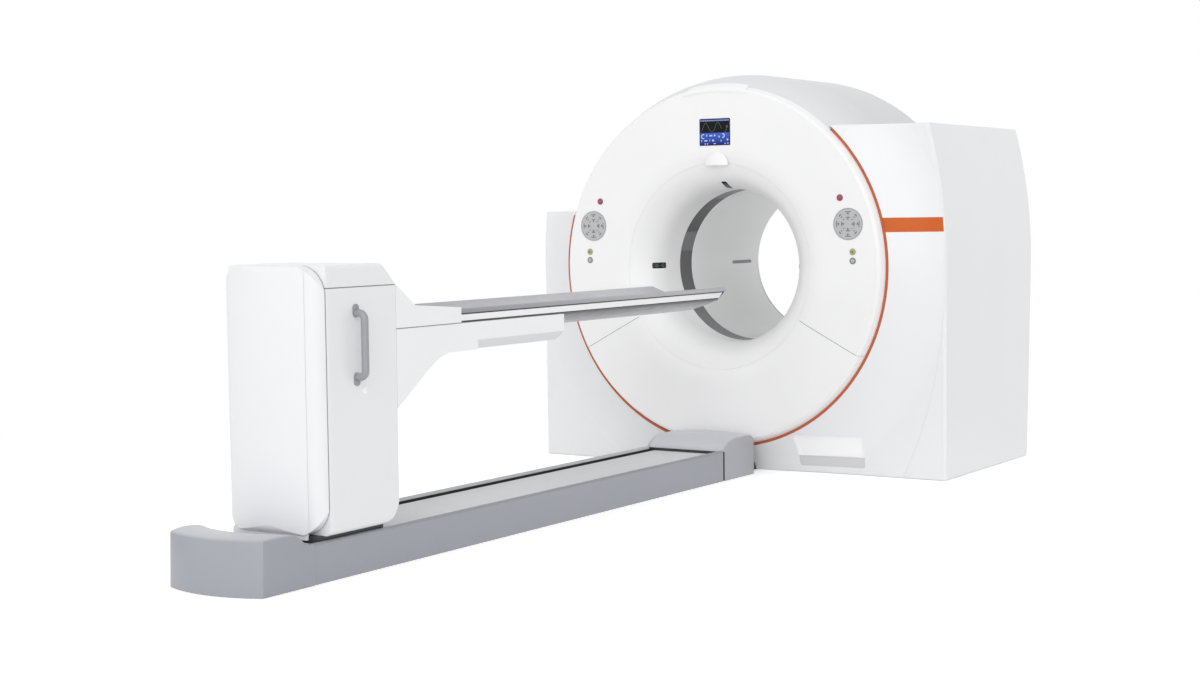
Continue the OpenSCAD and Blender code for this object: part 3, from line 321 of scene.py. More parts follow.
def linerMaterial():
    material, tree, shader = newMaterial("linerGrey", boreSet["liner"], 0.34)
    place = coordinates(tree)
    drift = noise(tree, place, 0.25)
    paint = ramp(tree, drift, [(0.3, shade(boreSet["liner"], 0.97)), (0.7, boreSet["liner"])])
    paint = jointLine(tree, paint, "Y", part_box("bore_liner")[1][1], boreSet["lipWide"], boreSet["lip"])
    tree.links.new(paint, shader.inputs["Base Color"])
    tree.links.new(spread(tree, noise(tree, place, 0.05), 0.3, 0.4), shader.inputs["Roughness"])
    bump(tree, shader, noise(tree, place, 0.006), 0.00001)
    return material


def windowMaterial():
    material, tree, shader = newMaterial("windowSmoke", boreSet["window"], 0.3)
    # painted reflections: segments of slightly different tone round the bore, laid end to end
    angle = calculate(tree, "ARCTAN2", axisValue(tree, "Z", boreAxis.z), axisValue(tree, "X", boreAxis.x))
    turn = calculate(tree, "FRACT", spread(tree, angle, -0.5, 0.5, -math.pi, math.pi))
    stops, last = [], 0.0
    for degrees, tone in boreSet["tones"]:
        share = degrees / 360
        stops += [(last + 0.001, shade(boreSet["window"], tone)), (share, shade(boreSet["window"], tone))]
        last = share
    tree.links.new(ramp(tree, turn, stops), shader.inputs["Base Color"])
    bump(tree, shader, noise(tree, coordinates(tree), 0.004), 0.00001)
    shader.inputs["Specular IOR Level"].default_value = boreSet["shine"]
    return material


# the liner turns lighter towards its top: painted light over a darker, shaded bottom
dress(overlay(linerMaterial(), ("Z", 0.1, 0.4, boreSet["linerTopLight"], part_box("bore_liner")[0][2])), "bore_liner")
dress(windowMaterial(), "scan_window")
dress(grainMaterial("laserGlass", boreSet["glass"], 0.12, size=0.02, speckle=0.3), "laser_windows")
dress(grainMaterial("slotGrey", boreSet["slot"], 0.3, size=0.01, speckle=0.08), "liner_laser_windows")


# rail and its caps
# the inner tone is painted light on the rim's inner face, and the gap tone is a painted shadow of the slot below it
railSet = {"grey": (0.345, 0.355, 0.395), "rim": (0.29, 0.298, 0.325), "inner": (0.78, 0.785, 0.80),
           "gap": (0.03, 0.03, 0.033), "capSheen": (0.59, 0.595, 0.63), "farSide": (0.41, 0.415, 0.445),
           "belt": (0.76, 0.77, 0.78), "rough": 0.34, "rib": 0.0095, "rimThick": 0.014, "slot": 0.02}


def railMaterial(name, *changes, grey=railSet["grey"]):
    return overlay(grainMaterial(name, grey, railSet["rough"], size=0.01, depth=0.000006, speckle=0.008), *changes)


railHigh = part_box("rail_channel")[1][2]
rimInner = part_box("rail_channel")[1][0] - railSet["rimThick"]
railGrey = railMaterial("railGrey", ("Z", railHigh - 0.0105, railHigh - 0.0075, railSet["rim"]))


# the rim's inner face is painted: a pale band as painted light, above a black band as painted shadow of a slot
def addRimLightAndSlotShadow(material):
    tree = material.node_tree
    shader = tree.nodes["Principled BSDF"]
    outer = shader.inputs["Base Color"].links[0].from_socket
    height = spread(tree, axisValue(tree, "Z"), 0, 1, railHigh - railSet["slot"], railHigh)
    rimLightAndSlotShadow = ramp(tree, height, [(0.28, railSet["gap"]), (0.34, railSet["inner"])])
    outside = spread(tree, distanceFrom(tree, "X"), 0, 1, rimInner, rimInner + 0.0003)
    tree.links.new(mixTone(tree, rimLightAndSlotShadow, outside, outer), shader.inputs["Base Color"])


addRimLightAndSlotShadow(railGrey)
dress(railGrey, "rail_channel", "rail_near_cap", "rail_far_cap")


def beltMaterial():
    material, tree, shader = newMaterial("beltGrey", railSet["belt"], 0.3)
    rib = tree.nodes.new("ShaderNodeTexWave")
    rib.bands_direction = "Y"
    rib.wave_profile = "SIN"
    rib.inputs["Scale"].default_value = 0.314 / railSet["rib"]
    tree.links.new(coordinates(tree), rib.inputs["Vector"])
    # darker between the ribs: painted shade in the troughs
    ribTroughShade = ramp(tree, rib.outputs["Fac"], [(0.1, shade(railSet["belt"], 0.86)), (0.5, railSet["belt"])])
    speck = ramp(tree, noise(tree, coordinates(tree), 0.003, 3.0), [(0.35, (0.95, 0.95, 0.95)), (0.6, (1, 1, 1))])
    tree.links.new(mixTone(tree, ribTroughShade, 1, speck, "MULTIPLY"), shader.inputs["Base Color"])
    bump(tree, shader, rib.outputs["Fac"], 0.0012, 0.6)
    return material


dress(beltMaterial(), "rail_cover_band")

# table tower, arm and pallet
tableSet = {"tower": (0.85, 0.855, 0.875), "arm": (0.91, 0.915, 0.925), "knob": (0.95, 0.95, 0.95),
            "pallet": (0.455, 0.455, 0.485), "palletNearShade": (0.285, 0.285, 0.315), "edge": (0.02, 0.02, 0.022),
            "belly": (0.11, 0.11, 0.12), "handle": (0.33, 0.335, 0.352), "sideRail": (0.90, 0.90, 0.90),
            "rough": 0.31, "line": 0.0028}
line = tableSet["line"]
whites = (("towerWhite", "tower", "tower_top_cap", ()),
          ("panelWhite", "tower", "tower_front_panel", [("Y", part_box("tower_front_panel")[1][1], line)]),
          ("shellWhite", "tower", "tower_shell", [("Z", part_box("tower_shell")[1][2], line)]),
          ("armWhite", "arm", "arm_cover", ()),
          ("headWhite", "arm", "arm_head", [("Z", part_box("arm_head")[0][2], line)]))
for name, tone, node, joints in whites:
    dress(coverMaterial(name, tableSet[tone], tableSet["rough"], joints), node)
dress(coverMaterial("knobWhite", tableSet["knob"], 0.35), "release_button")
dress(grainMaterial("handleGrey", tableSet["handle"], 0.35, 0.1, size=0.006, depth=0.00001), "grab_handle")


# carbon-fibre pallet under a smooth grey skin
def palletMaterial():
    material, tree, shader = newMaterial("palletGrey", tableSet["pallet"], 0.34)
    place = coordinates(tree)
    weave = tree.nodes.new("ShaderNodeTexBrick")
    sizes = {"Scale": 1, "Brick Width": 0.006, "Row Height": 0.003, "Mortar Size": 0.0002, "Mortar Smooth": 1}
    tones = {"Color1": 1.0, "Color2": 0.96, "Mortar": 0.93}
    for name, value in [*sizes.items(), *((name, shade(tableSet["pallet"], tone)) for name, tone in tones.items())]:
        feed(tree, value, weave.inputs[name])
    tree.links.new(place, weave.inputs["Vector"])
    tree.links.new(weave.outputs["Color"], shader.inputs["Base Color"])
    tree.links.new(spread(tree, noise(tree, place, 0.06), 0.28, 0.42), shader.inputs["Roughness"])
    bump(tree, shader, weave.outputs["Fac"], 0.00002)
    shader.inputs["Coat Weight"].default_value = 0.2
    return material


# near end darker as painted shade, black painted shadow in the gaps above and below the side rail, and painted shade
# on the belly under it
palletPaint = overlay(palletMaterial(), ("Y", 1.1, 2.7, tableSet["palletNearShade"]))


def shadePalletEdges(material):
    tree = material.node_tree
    shader = tree.nodes["Principled BSDF"]
    paint = shader.inputs["Base Color"].links[0].from_socket
    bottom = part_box("pallet")[0][2]
    low, high = (corner[2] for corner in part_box("pallet_side_rails"))
    reach = high + 0.01 - bottom
    rise = spread(tree, axisValue(tree, "Z"), 0, 1, bottom, bottom + reach)

    def band(*stops):
        return ramp(tree, rise, [((height - bottom) / reach, (value, value, value)) for height, value in stops])
    # painted shade under the side rail, and painted shadow in the gaps above and below it
    belly = band((low - 0.048, 0), (low - 0.004, 1), (low - 0.0005, 1), (low, 0))
    bead = band((low - 0.0045, 0), (low - 0.004, 1), (high + 0.0045, 1), (high + 0.005, 0))
    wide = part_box("pallet")[1][0]
    atEdge = spread(tree, distanceFrom(tree, "X"), 0, 1, wide - 0.012, wide - 0.010)
    paint = mixTone(tree, paint, belly, tableSet["belly"])
    paint = mixTone(tree, paint, calculate(tree, "MULTIPLY", atEdge, bead), tableSet["edge"])
    tree.links.new(paint, shader.inputs["Base Color"])


shadePalletEdges(palletPaint)
dress(palletPaint, "pallet")
dress(grainMaterial("railAluminium", tableSet["sideRail"], 0.32, 0.4, size=0.02, depth=0.000002, speckle=0.01),
      "pallet_side_rails")

# works inside the covers
paintedSet = {"steelGrey": {"colour": (0.20, 0.21, 0.23), "rough": 0.5, "metal": 0.2},
              "castAlloy": {"colour": (0.42, 0.43, 0.45), "rough": 0.48, "metal": 0.6, "size": 0.002,
                            "depth": 0.0001},
              "tubeHousing": {"colour": (0.62, 0.60, 0.52), "rough": 0.42, "size": 0.003},
              "generatorBlue": {"colour": (0.10, 0.16, 0.24), "rough": 0.5},
              "crystalGrey": {"colour": (0.10, 0.11, 0.13), "rough": 0.35, "speckle": 0.2},
              "cabinetGrey": {"colour": (0.07, 0.08, 0.09), "rough": 0.55},
              "motorBlack": {"colour": (0.03, 0.03, 0.033), "rough": 0.45}}
metalSet = {"groundSteel": {"colour": (0.56, 0.57, 0.58), "rough": 0.32, "along": "y"},
            "copperWinding": {"colour": (0.60, 0.30, 0.14), "rough": 0.4, "along": "x"},
            "slipBrass": {"colour": (0.70, 0.52, 0.25), "rough": 0.28, "along": "z"}}
works = {name: grainMaterial(name, **look) for name, look in paintedSet.items()}
works.update({name: drawnMaterial(name, **look) for name, look in metalSet.items()})
dress(works["steelGrey"], "base_frame", "carriage_frame", "arm_frame", "lift_column")
dress(works["castAlloy"], "stator_frame", "rotor_drum")
dress(works["groundSteel"], "main_bearing", "guide_rails", "drive_rack", "drive_pinion", "lift_screw")
dress(works["copperWinding"], "torque_motor")
dress(works["slipBrass"], "slip_ring")
dress(works["tubeHousing"], "xray_tube")
dress(works["generatorBlue"], "xray_generator")
dress(works["crystalGrey"], "detector_arc", "pet_detectors")
dress(works["cabinetGrey"], "electronics_cabinet_left", "electronics_cabinet_right")
dress(works["motorBlack"], "drive_motor", "lift_motor")
print("materials ready")


# making new pieces: flat marks are drawn in a plane that faces the table, then given a thickness
def facing(x, y, z):
    return Matrix.Translation((x, y, z)) @ Matrix.Rotation(math.radians(90), 4, "X")


def thicken(bm, faces, plane, thick, index):
    for face in faces:
        face.material_index = index
    grown = bmesh.ops.extrude_face_region(bm, geom=faces)["geom"]
    for item in grown:
        if isinstance(item, bmesh.types.BMFace):
            item.material_index = index
    moved = [item for item in grown if isinstance(item, bmesh.types.BMVert)]
    bmesh.ops.translate(bm, vec=plane.to_3x3() @ Vector((0, 0, thick)), verts=moved)


def facesOf(verts):
    return list({face for vert in verts for face in vert.link_faces})


def addBar(bm, plane, u, v, width, height, thick, index=0, turn=0.0):
    place = plane @ Matrix.Translation((u, v, 0)) @ Matrix.Rotation(turn, 4, "Z")
    place = place @ Matrix.Diagonal((width, height, 1, 1))
    verts = bmesh.ops.create_grid(bm, x_segments=1, y_segments=1, size=0.5, matrix=place)["verts"]
    thicken(bm, facesOf(verts), plane, thick, index)


def addDisc(bm, plane, u, v, radius, thick, index=0, sides=20, turn=0.0):
    place = plane @ Matrix.Translation((u, v, 0)) @ Matrix.Rotation(turn, 4, "Z")
    verts = bmesh.ops.create_circle(bm, cap_ends=True, segments=sides, radius=radius, matrix=place)["verts"]
    thicken(bm, facesOf(verts), plane, thick, index)


def addArc(bm, plane, u, v, radius, width, thick, index=0, start=0.0, sweep=2 * math.pi, steps=24):
    ends = [bm.verts.new(plane @ Vector((u + r * math.cos(start), v + r * math.sin(start), 0)))
            for r in (radius - width, radius)]
    edge = bm.edges.new(ends)
    before = set(bm.faces)
    bmesh.ops.spin(bm, geom=[*ends, edge], cent=plane @ Vector((u, v, 0)), axis=plane.to_3x3() @ Vector((0, 0, 1)),
                   angle=sweep, steps=steps, use_merge=sweep > 6.28)
    thicken(bm, [face for face in bm.faces if face not in before], plane, thick, index)


def makePiece(name, bm, materials, body, smooth=False):
    bmesh.ops.remove_doubles(bm, verts=bm.verts, dist=1e-6)
    bmesh.ops.recalc_face_normals(bm, faces=bm.faces)
    mesh = bpy.data.meshes.new(name)
    bm.to_mesh(mesh)
    bm.free()
    for material in materials:
        mesh.materials.append(material)
    for polygon in mesh.polygons:
        polygon.use_smooth = smooth
    piece = bpy.data.objects.new(name, mesh)
    scene.collection.objects.link(piece)
    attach(piece, body)
    return piece


# display: dark frame, status bar, black trace window and a blue control area
displaySet = {"bar": (0.17, 0.23, 0.46), "window": (0.002, 0.003, 0.005), "blueHigh": (0.05, 0.112, 0.50),
              "blueLow": (0.006, 0.006, 0.13), "glow": (0.42, 0.54, 0.86), "trace": (0.12, 0.125, 0.115),
              "frame": (0.012, 0.014, 0.06), "plate": 0.0004, "mark": 0.00035, "light": 0.2, "shine": 0.12,
              "wide": 0.945, "areas": ((0.072, 0.048), (0.315, 0.40), (0.748, 0.43)),
              "dials": ((0.125, 0.66, 7.0, 2.4, 60, 240), (0.765, 0.645, 6.6, 2.8, -110, 220)),
              "dashes": ((0.24, 0.63, 2.4, 6), (0.375, 0.635, 9, 3.6), (0.50, 0.63, 5, 4.4), (0.645, 0.675, 3.6, 5),
                         (0.07, 0.82, 1.8, 7), (0.21, 0.82, 10, 3.6), (0.34, 0.81, 1.6, 6), (0.45, 0.815, 6, 5),
                         (0.71, 0.83, 2.6, 5), (0.92, 0.795, 5, 5), (0.19, 0.935, 4.6, 2.6), (0.265, 0.935, 4, 2.6),
                         (0.50, 0.935, 7, 2.2), (0.84, 0.935, 3, 3), (0.93, 0.93, 5, 2.6)),
              "crests": ((0.065, 0.47), (0.115, 0.36), (0.165, 0.19), (0.205, 0.135), (0.25, 0.19), (0.32, 0.38),
                         (0.365, 0.465), (0.415, 0.485), (0.465, 0.46), (0.51, 0.36), (0.56, 0.19), (0.605, 0.13),
                         (0.65, 0.18), (0.73, 0.38))}
displayLow, displayHigh = corners("display_panel")
displayWide, displayTall = displayHigh.x - displayLow.x, displayHigh.z - displayLow.z
displayFace = facing(displayLow.x, displayLow.y, displayHigh.z)


def glowMaterial(name, colour, lowColour=None):
    material, tree, shader = newMaterial(name, colour, 0.12)
    if lowColour:
        height = spread(tree, axisValue(tree, "Z"), 0, 1, displayLow.z, displayHigh.z - displayTall * 0.5)
        paint = ramp(tree, height, [(0.0, lowColour), (0.45, shade(colour, 0.6)), (1.0, colour)])
    else:
        paint = ramp(tree, noise(tree, coordinates(tree), 0.01), [(0.3, shade(colour, 0.92)), (0.7, colour)])
    tree.links.new(paint, shader.inputs["Base Color"])
    tree.links.new(paint, shader.inputs["Emission Color"])
    shader.inputs["Emission Strength"].default_value = displaySet["light"]
    bump(tree, shader, noise(tree, coordinates(tree), 0.0008), 0.000003)
    shader.inputs["Specular IOR Level"].default_value = displaySet["shine"]
    return material


def displayPoint(across, down):
    return across * displayWide, -down * displayTall


def makeDisplay():
    plate, mark = displaySet["plate"], displaySet["mark"]
    glass = grainMaterial("displayFrame", displaySet["frame"], 0.3, size=0.02, speckle=0.12)
    glass.node_tree.nodes["Principled BSDF"].inputs["Specular IOR Level"].default_value = displaySet["shine"]
    dress(glass, "display_panel")
    paints = [glowMaterial("displayBar", displaySet["bar"]), glowMaterial("displayWindow", displaySet["window"]),
              glowMaterial("displayBlue", displaySet["blueHigh"], displaySet["blueLow"]),
              glowMaterial("displayGlow", displaySet["glow"]), glowMaterial("displayTrace", displaySet["trace"])]
    bm = bmesh.new()
    for index, (down, tall) in enumerate(displaySet["areas"]):
        addBar(bm, displayFace, *displayPoint(0.5, down), displaySet["wide"] * displayWide, tall * displayTall, plate,
               index)
    makePiece("display_areas", bm, paints[:3], fixedBody)

    bm = bmesh.new()
    top = displayFace @ Matrix.Translation((0, 0, plate))
    unit = displayWide * 0.01
    for across, down, radius, width, start, sweep in displaySet["dials"]:
        addArc(bm, top, *displayPoint(across, down), radius * unit, width * unit, mark, 0, math.radians(start),
               math.radians(sweep))
    addArc(bm, top, *displayPoint(0.905, 0.31), 3.6 * unit, 1.7 * unit, mark, 1)
    for across, down, wide, tall in displaySet["dashes"]:
        addBar(bm, top, *displayPoint(across, down), wide * unit, tall * unit, mark, 0)
    addBar(bm, top, *displayPoint(0.875, 0.44), 1.2 * unit, 17 * unit, mark, 1, math.radians(-24))
    makePiece("display_marks", bm, paints[3:], fixedBody)

    # two crests of a breathing trace across the window
    wave = bpy.data.curves.new("display_trace", "CURVE")
    wave.dimensions = "3D"
    wave.bevel_depth = 0.6 * unit
    wave.bevel_resolution = 2
    wave.use_fill_caps = True
    line = wave.splines.new("NURBS")
    line.points.add(len(displaySet["crests"]) - 1)
    for point, (across, down) in zip(line.points, displaySet["crests"]):
        point.co = (*(displayFace @ Vector((*displayPoint(across, down), plate))), 1)
    line.use_endpoint_u = True
    line.order_u = 3
    wave.materials.append(paints[4])
    trace = bpy.data.objects.new("display_trace", wave)
    scene.collection.objects.link(trace)
    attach(trace, fixedBody)


makeDisplay()
print("display ready")

# membrane keypads: a rolled rim, arrows in two rings and small corner marks
keypadSet = {"face": (0.48, 0.485, 0.49), "rim": (0.36, 0.365, 0.375), "ink": (0.13, 0.133, 0.138),
             "mark": 0.0003, "sunk": 0.001, "rimWidth": 0.06, "rimThick": 0.0008,
             "arrows": ((0.66, 0.095, 0.36), (0.32, 0.085, 0.26)),
             "dots": ((0.76, 0.07), (0.60, 0.045), (0.40, 0.04))}
keypadGrey = grainMaterial("keypadGrey", keypadSet["face"], 0.48, size=0.0016, depth=0.00003, speckle=0.05)
keypadRim = grainMaterial("keypadRim", keypadSet["rim"], 0.45, size=0.002, speckle=0.04)
keypadInk = grainMaterial("keypadInk", keypadSet["ink"], 0.5, size=0.001, speckle=0.15)
dress(keypadGrey, "keypad_left", "keypad_right")


def makeKeypad(side):
    low, high = corners("keypad_" + side)
    radius = (high.x - low.x) / 2
    mark, sunk = keypadSet["mark"], keypadSet["sunk"]
    plane = facing((low.x + high.x) / 2, low.y, (low.z + high.z) / 2)
    skin = facing((low.x + high.x) / 2, low.y + sunk, (low.z + high.z) / 2)
    bm = bmesh.new()
    addArc(bm, skin, 0, 0, radius, radius * keypadSet["rimWidth"], keypadSet["rimThick"], 1, steps=64)
    for turn in range(4):
        angle = math.radians(90 * turn)
        ahead = Vector((math.cos(angle), math.sin(angle)))
        for reach, size, bar in keypadSet["arrows"]:
            tip = ahead * radius * reach
            foot = ahead * radius * (reach + 0.10)
            addDisc(bm, plane, tip.x, tip.y, radius * size, mark, 0, 3, angle)
            addBar(bm, skin, foot.x, foot.y, radius * 0.05, radius * bar, mark + sunk, 0, angle)
        corner = angle + math.radians(45)
        for reach, size in keypadSet["dots"]:
            spot = Vector((math.cos(corner), math.sin(corner))) * radius * reach
            addBar(bm, skin, spot.x, spot.y, radius * size * 2.6, radius * size, mark + sunk, 0,
                   corner + math.radians(90))
    makePiece("keypad_marks_" + side, bm, [keypadInk, keypadRim], fixedBody)


for side in ("left", "right"):
    makeKeypad(side)

# push buttons: moulded caps with a ring of another tone round or on their centre
buttonSet = {"stop": ((0.24, 0.045, 0.085), (0.30, 0.055, 0.10), 0.5),
             "start": ((0.36, 0.37, 0.16), (0.17, 0.19, 0.05), 0.32),
             "call": ((0.22, 0.225, 0.235), (0.46, 0.465, 0.475), 0.45)}


def buttonMaterial(node, outer, inner, share):
    material, tree, shader = newMaterial(node + "_cap", outer, 0.3)
    low, high = corners(node)
    centre = (low + high) / 2
    away = radiusFrom(tree, (centre.x, 0, centre.z), (1, 1e6, 1))
    reach = (high.x - low.x) / 2 * share
    ring = spread(tree, away, 0, 1, reach * 0.85, reach * 1.15)
    tree.links.new(ramp(tree, ring, [(0.0, inner), (1.0, outer)]), shader.inputs["Base Color"])
    tree.links.new(spread(tree, noise(tree, coordinates(tree), 0.004), 0.26, 0.36), shader.inputs["Roughness"])
    bump(tree, shader, ring, 0.0003, 0.5)
    shader.inputs["Coat Weight"].default_value = 0.3
    return material


for kind, (outer, inner, share) in buttonSet.items():
    for side in ("left", "right"):
        node = kind + "_button_" + side
        dress(buttonMaterial(node, outer, inner, share), node)
print("controls ready")


# laser windows: two lenses behind each dark pane and a divider between them
laserSet = {"lens": 0.0095, "ring": 0.0022, "thick": 0.0008, "divider": (0.016, 0.002), "places": (0.28, 0.5, 0.72),
            "lensTone": (0.05, 0.075, 0.07), "rimTone": (0.12, 0.14, 0.135)}


def surfaceTree(node):
    mesh = cad[node].data
    return BVHTree.FromPolygons([v.co for v in mesh.vertices], [tuple(p.vertices) for p in mesh.polygons])


def makeLaserLenses():
    panes = surfaceTree("laser_windows")
    low, high = corners("laser_windows")
    glass = grainMaterial("laserLens", laserSet["lensTone"], 0.1, size=0.01, speckle=0.2)
    rim = grainMaterial("laserRim", laserSet["rimTone"], 0.35, size=0.003)
    lens, ring, thick = laserSet["lens"], laserSet["ring"], laserSet["thick"]
    bm = bmesh.new()
    for outward in (Vector((1, 0, 0)), Vector((-1, 0, 0)), Vector((0, 0, 1))):
        for share in laserSet["places"]:
            start = Vector((0, low.y + share * (high.y - low.y), boreAxis.z))
            spot, normal, _, _ = panes.ray_cast(start, outward)
            if normal.dot(outward) > 0:
                normal = -normal
            plane = Matrix.Translation(spot - normal * 0.0002) @ normal.to_track_quat("Z", "Y").to_matrix().to_4x4()
            if share == 0.5:
                addBar(bm, plane, 0, 0, *laserSet["divider"], thick, 1)
            else:
                addDisc(bm, plane, 0, 0, lens - ring, thick, 0, 28)
                addArc(bm, plane, 0, 0, lens, ring, thick, 1, steps=28)
    makePiece("laser_lenses", bm, [glass, rim], fixedBody)


makeLaserLenses()


# ribs across the rail's sliding cover band
beltSet = {"pitch": 0.0095, "wide": 0.0045, "high": 0.0008}


def makeBeltRibs():
    low, high = corners("rail_cover_band")
    pitch, tall = beltSet["pitch"], beltSet["high"]
    count = int((high.y - low.y - 0.01) / pitch)
    bm = bmesh.new()
    place = Matrix.Translation(((low.x + high.x) / 2, low.y + pitch, high.z + tall / 2))
    place = place @ Matrix.Diagonal((high.x - low.x - 0.004, beltSet["wide"], tall, 1))
    bmesh.ops.create_cube(bm, size=1, matrix=place)
    top = [edge for edge in bm.edges if all(vert.co.z > high.z + tall / 2 for vert in edge.verts)
           and abs(edge.verts[0].co.y - edge.verts[1].co.y) < 1e-6]
    bmesh.ops.bevel(bm, geom=top, offset=tall * 0.6, offset_type="OFFSET", affect="EDGES", segments=2, profile=0.5,
                    material=-1)
    ribs = makePiece("belt_ribs", bm, [bpy.data.materials["beltGrey"]], fixedBody)
    array = ribs.modifiers.new("array", "ARRAY")
    array.use_relative_offset = False
    array.use_constant_offset = True
    array.constant_offset_displace = (0, pitch, 0)
    array.count = count - 1


makeBeltRibs()
print("details ready")


# rail end covers with eased edges: each is one profile swept across the rail, followed by a shaping of its points
# (the hump and the bow's fade are measured from the back of the near cap)
capSet = {"ease": 0.004, "steps": 24, "foot": 0.001, "farTop": 0.209, "noseLong": 0.15, "noseHigh": 0.146,
          "rearRound": 0.04, "crown": 2.2, "gap": 0.006, "bow": 0.491, "bowFades": (-0.0517, 0.0333), "grip": 0.036,
          "sheenTone": 0.88, "sheenFrom": 0.194, "sheenTo": 0.2035, "shoulder": 0.1495,
          "hump": ((-0.2332, 0.001), (-0.2282, 0.193), (-0.2257, 0.1985), (-0.2187, 0.2015), (-0.1967, 0.2055),
                   (-0.1767, 0.2072), (-0.1567, 0.2078), (-0.1367, 0.2072), (-0.1167, 0.2054), (-0.0957, 0.2024),
                   (-0.0757, 0.1978), (-0.0597, 0.1922), (-0.0457, 0.1848), (-0.0327, 0.1755), (-0.0207, 0.1655),
                   (-0.0077, 0.1555), (0.0048, 0.1495))}


def arcPoints(centre, radii, first, last, steps):
    angles = [math.radians(first + (last - first) * i / steps) for i in range(steps + 1)]
    return [(centre[0] + radii[0] * math.cos(angle), centre[1] + radii[1] * math.sin(angle)) for angle in angles]


def sweptCap(name, profile, low, high, replaced, material, shaped):
    bm = bmesh.new()
    face = bm.faces.new([bm.verts.new((low.x, y, z)) for y, z in profile])
    step = (high.x - low.x) / capSet["steps"]
    for _ in range(capSet["steps"]):
        grown = bmesh.ops.extrude_face_region(bm, geom=[face])["geom"]
        moved = [item for item in grown if isinstance(item, bmesh.types.BMVert)]
        bmesh.ops.translate(bm, vec=(step, 0, 0), verts=moved)
        face = next(item for item in grown if isinstance(item, bmesh.types.BMFace))
    inner = [face for face in bm.faces if abs(face.normal.x) > 0.99
             and low.x + 1e-4 < face.calc_center_median().x < high.x - 1e-4]
    bmesh.ops.delete(bm, geom=inner, context="FACES_ONLY")
    for vert in bm.verts:
        vert.co = shaped(vert.co)
    outline = [edge for edge in bm.edges if all(abs(abs(vert.co.x) - high.x) < 1e-5 for vert in edge.verts)
               and max(vert.co.z for vert in edge.verts) > 0.05]
    bmesh.ops.bevel(bm, geom=outline, offset=capSet["ease"], offset_type="OFFSET", affect="EDGES", segments=3,
                    profile=0.5, material=-1, clamp_overlap=True)
    piece = makePiece(name, bm, [material], fixedBody, smooth=True)
    piece.data.set_sharp_from_angle(angle=math.radians(32))
    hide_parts(replaced)


def makeFarCap():
    low, high = corners("rail_far_cap")
    top, nose, rear = capSet["farTop"], capSet["noseHigh"], capSet["rearRound"]
    near = low.y + capSet["gap"]
    profile = [(near, capSet["foot"]), (near, nose)]
    profile += arcPoints((near + capSet["noseLong"], nose), (capSet["noseLong"], top - nose), 180, 90, 14)[1:]
    profile += arcPoints((high.y - rear, top - rear), (rear, rear), 90, 0, 8)
    profile.append((high.y, capSet["foot"]))
    # far cap: its top and nose a lighter grey than its sides, a painted sheen
    paint = railMaterial("farCapGrey", ("X", high.x - 0.001, high.x - 0.022, railSet["capSheen"]),
                         grey=railSet["farSide"])

    def crowned(co):
        return Vector((co.x, co.y, co.z - (co.x ** 2 / (2 * capSet["crown"]) if co.z > 0.14 else 0)))
    sweptCap("far_cap_shell", profile, low, high, "rail_far_cap", paint, crowned)
    # black block in the gap behind the far cap, painted shadow that shows as a slot above the band and as a line down
    # each side
    bm = bmesh.new()
    wide, deep, tall = 2 * high.x - 0.008, capSet["gap"] + 0.002, nose - 0.006
    place = Matrix.Translation((0, low.y + deep / 2, 0.002 + tall / 2))
    bmesh.ops.create_cube(bm, size=1, matrix=place @ Matrix.Diagonal((wide, deep, tall, 1)))
    makePiece("far_cap_seal", bm, [works["motorBlack"]], fixedBody)


def makeNearCap():
    low, high = corners("rail_near_cap")
    joint = high.y + capSet["grip"]
    profile = [(high.y + y, z) for y, z in capSet["hump"]]
    profile += [(joint, capSet["shoulder"]), (joint, capSet["foot"])]
    sideY = math.sqrt(capSet["bow"] ** 2 - high.x ** 2)
    fadeFrom, fadeTo = (high.y + y for y in capSet["bowFades"])

    def bowed(co):
        share = min(1, max(0, (fadeTo - co.y) / (fadeTo - fadeFrom)))
        return Vector((co.x, co.y - share * (math.sqrt(capSet["bow"] ** 2 - co.x ** 2) - sideY), co.z))
    # near cap: lighter along its top, a painted sheen
    sheenTone = shade(railSet["capSheen"], capSet["sheenTone"])
    paint = railMaterial("nearCapGrey", ("Z", capSet["sheenFrom"], capSet["sheenTo"], sheenTone))
    sweptCap("near_cap_shell", profile, low, high, "rail_near_cap", paint, bowed)


makeFarCap()
makeNearCap()


# black block between the tower and the rail as painted shadow of the gap, and the white apron in front of it, both
# travelling with the tower
apronAndShadowSet = {"clear": 0.0025, "overBand": 0.005, "apron": (-0.2, 0.16), "apronFrom": 0.026, "apronRound": 0.004,
            "end": 0.036, "round": 0.03}


# block with its upright edges rounded
def makeBlock(name, low, high, radius, material):
    bm = bmesh.new()
    place = Matrix.Translation((low + high) / 2) @ Matrix.Diagonal((*(high - low), 1))
    bmesh.ops.create_cube(bm, size=1, matrix=place)
    upright = [edge for edge in bm.edges if abs(edge.verts[0].co.z - edge.verts[1].co.z) > 0.01]
    bmesh.ops.bevel(bm, geom=upright, offset=radius, offset_type="OFFSET", affect="EDGES", segments=4, profile=0.5,
                    material=-1)
    makePiece(name, bm, [material], "carriage")


def makeApronAndGapShadow():
    low, high = corners("tower_shell")
    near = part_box("tower_front_panel")[0][1]
    rim, end = railHigh + apronAndShadowSet["clear"], apronAndShadowSet["end"]
    left, right = apronAndShadowSet["apron"]
    makeBlock("tower_apron", Vector((left, near + apronAndShadowSet["apronFrom"], rim)),
              Vector((right, near + end + 0.004, low.z + 0.012)), apronAndShadowSet["apronRound"],
              bpy.data.materials["towerWhite"])
    wide, bottom = rimInner - 0.004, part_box("rail_cover_band")[1][2] + apronAndShadowSet["overBand"]
    makeBlock("tower_skirt", Vector((-wide, near + end, bottom)), Vector((wide, high.y - end, low.z + 0.001)),
              apronAndShadowSet["round"], works["motorBlack"])


makeApronAndGapShadow()


# bead along the front of the orange strip, up its left side
beadSet = {"from": -88, "turn": 108.9, "inside": 0.0006, "wide": 0.0125, "out": 0.010, "round": 0.0015, "steps": 80}


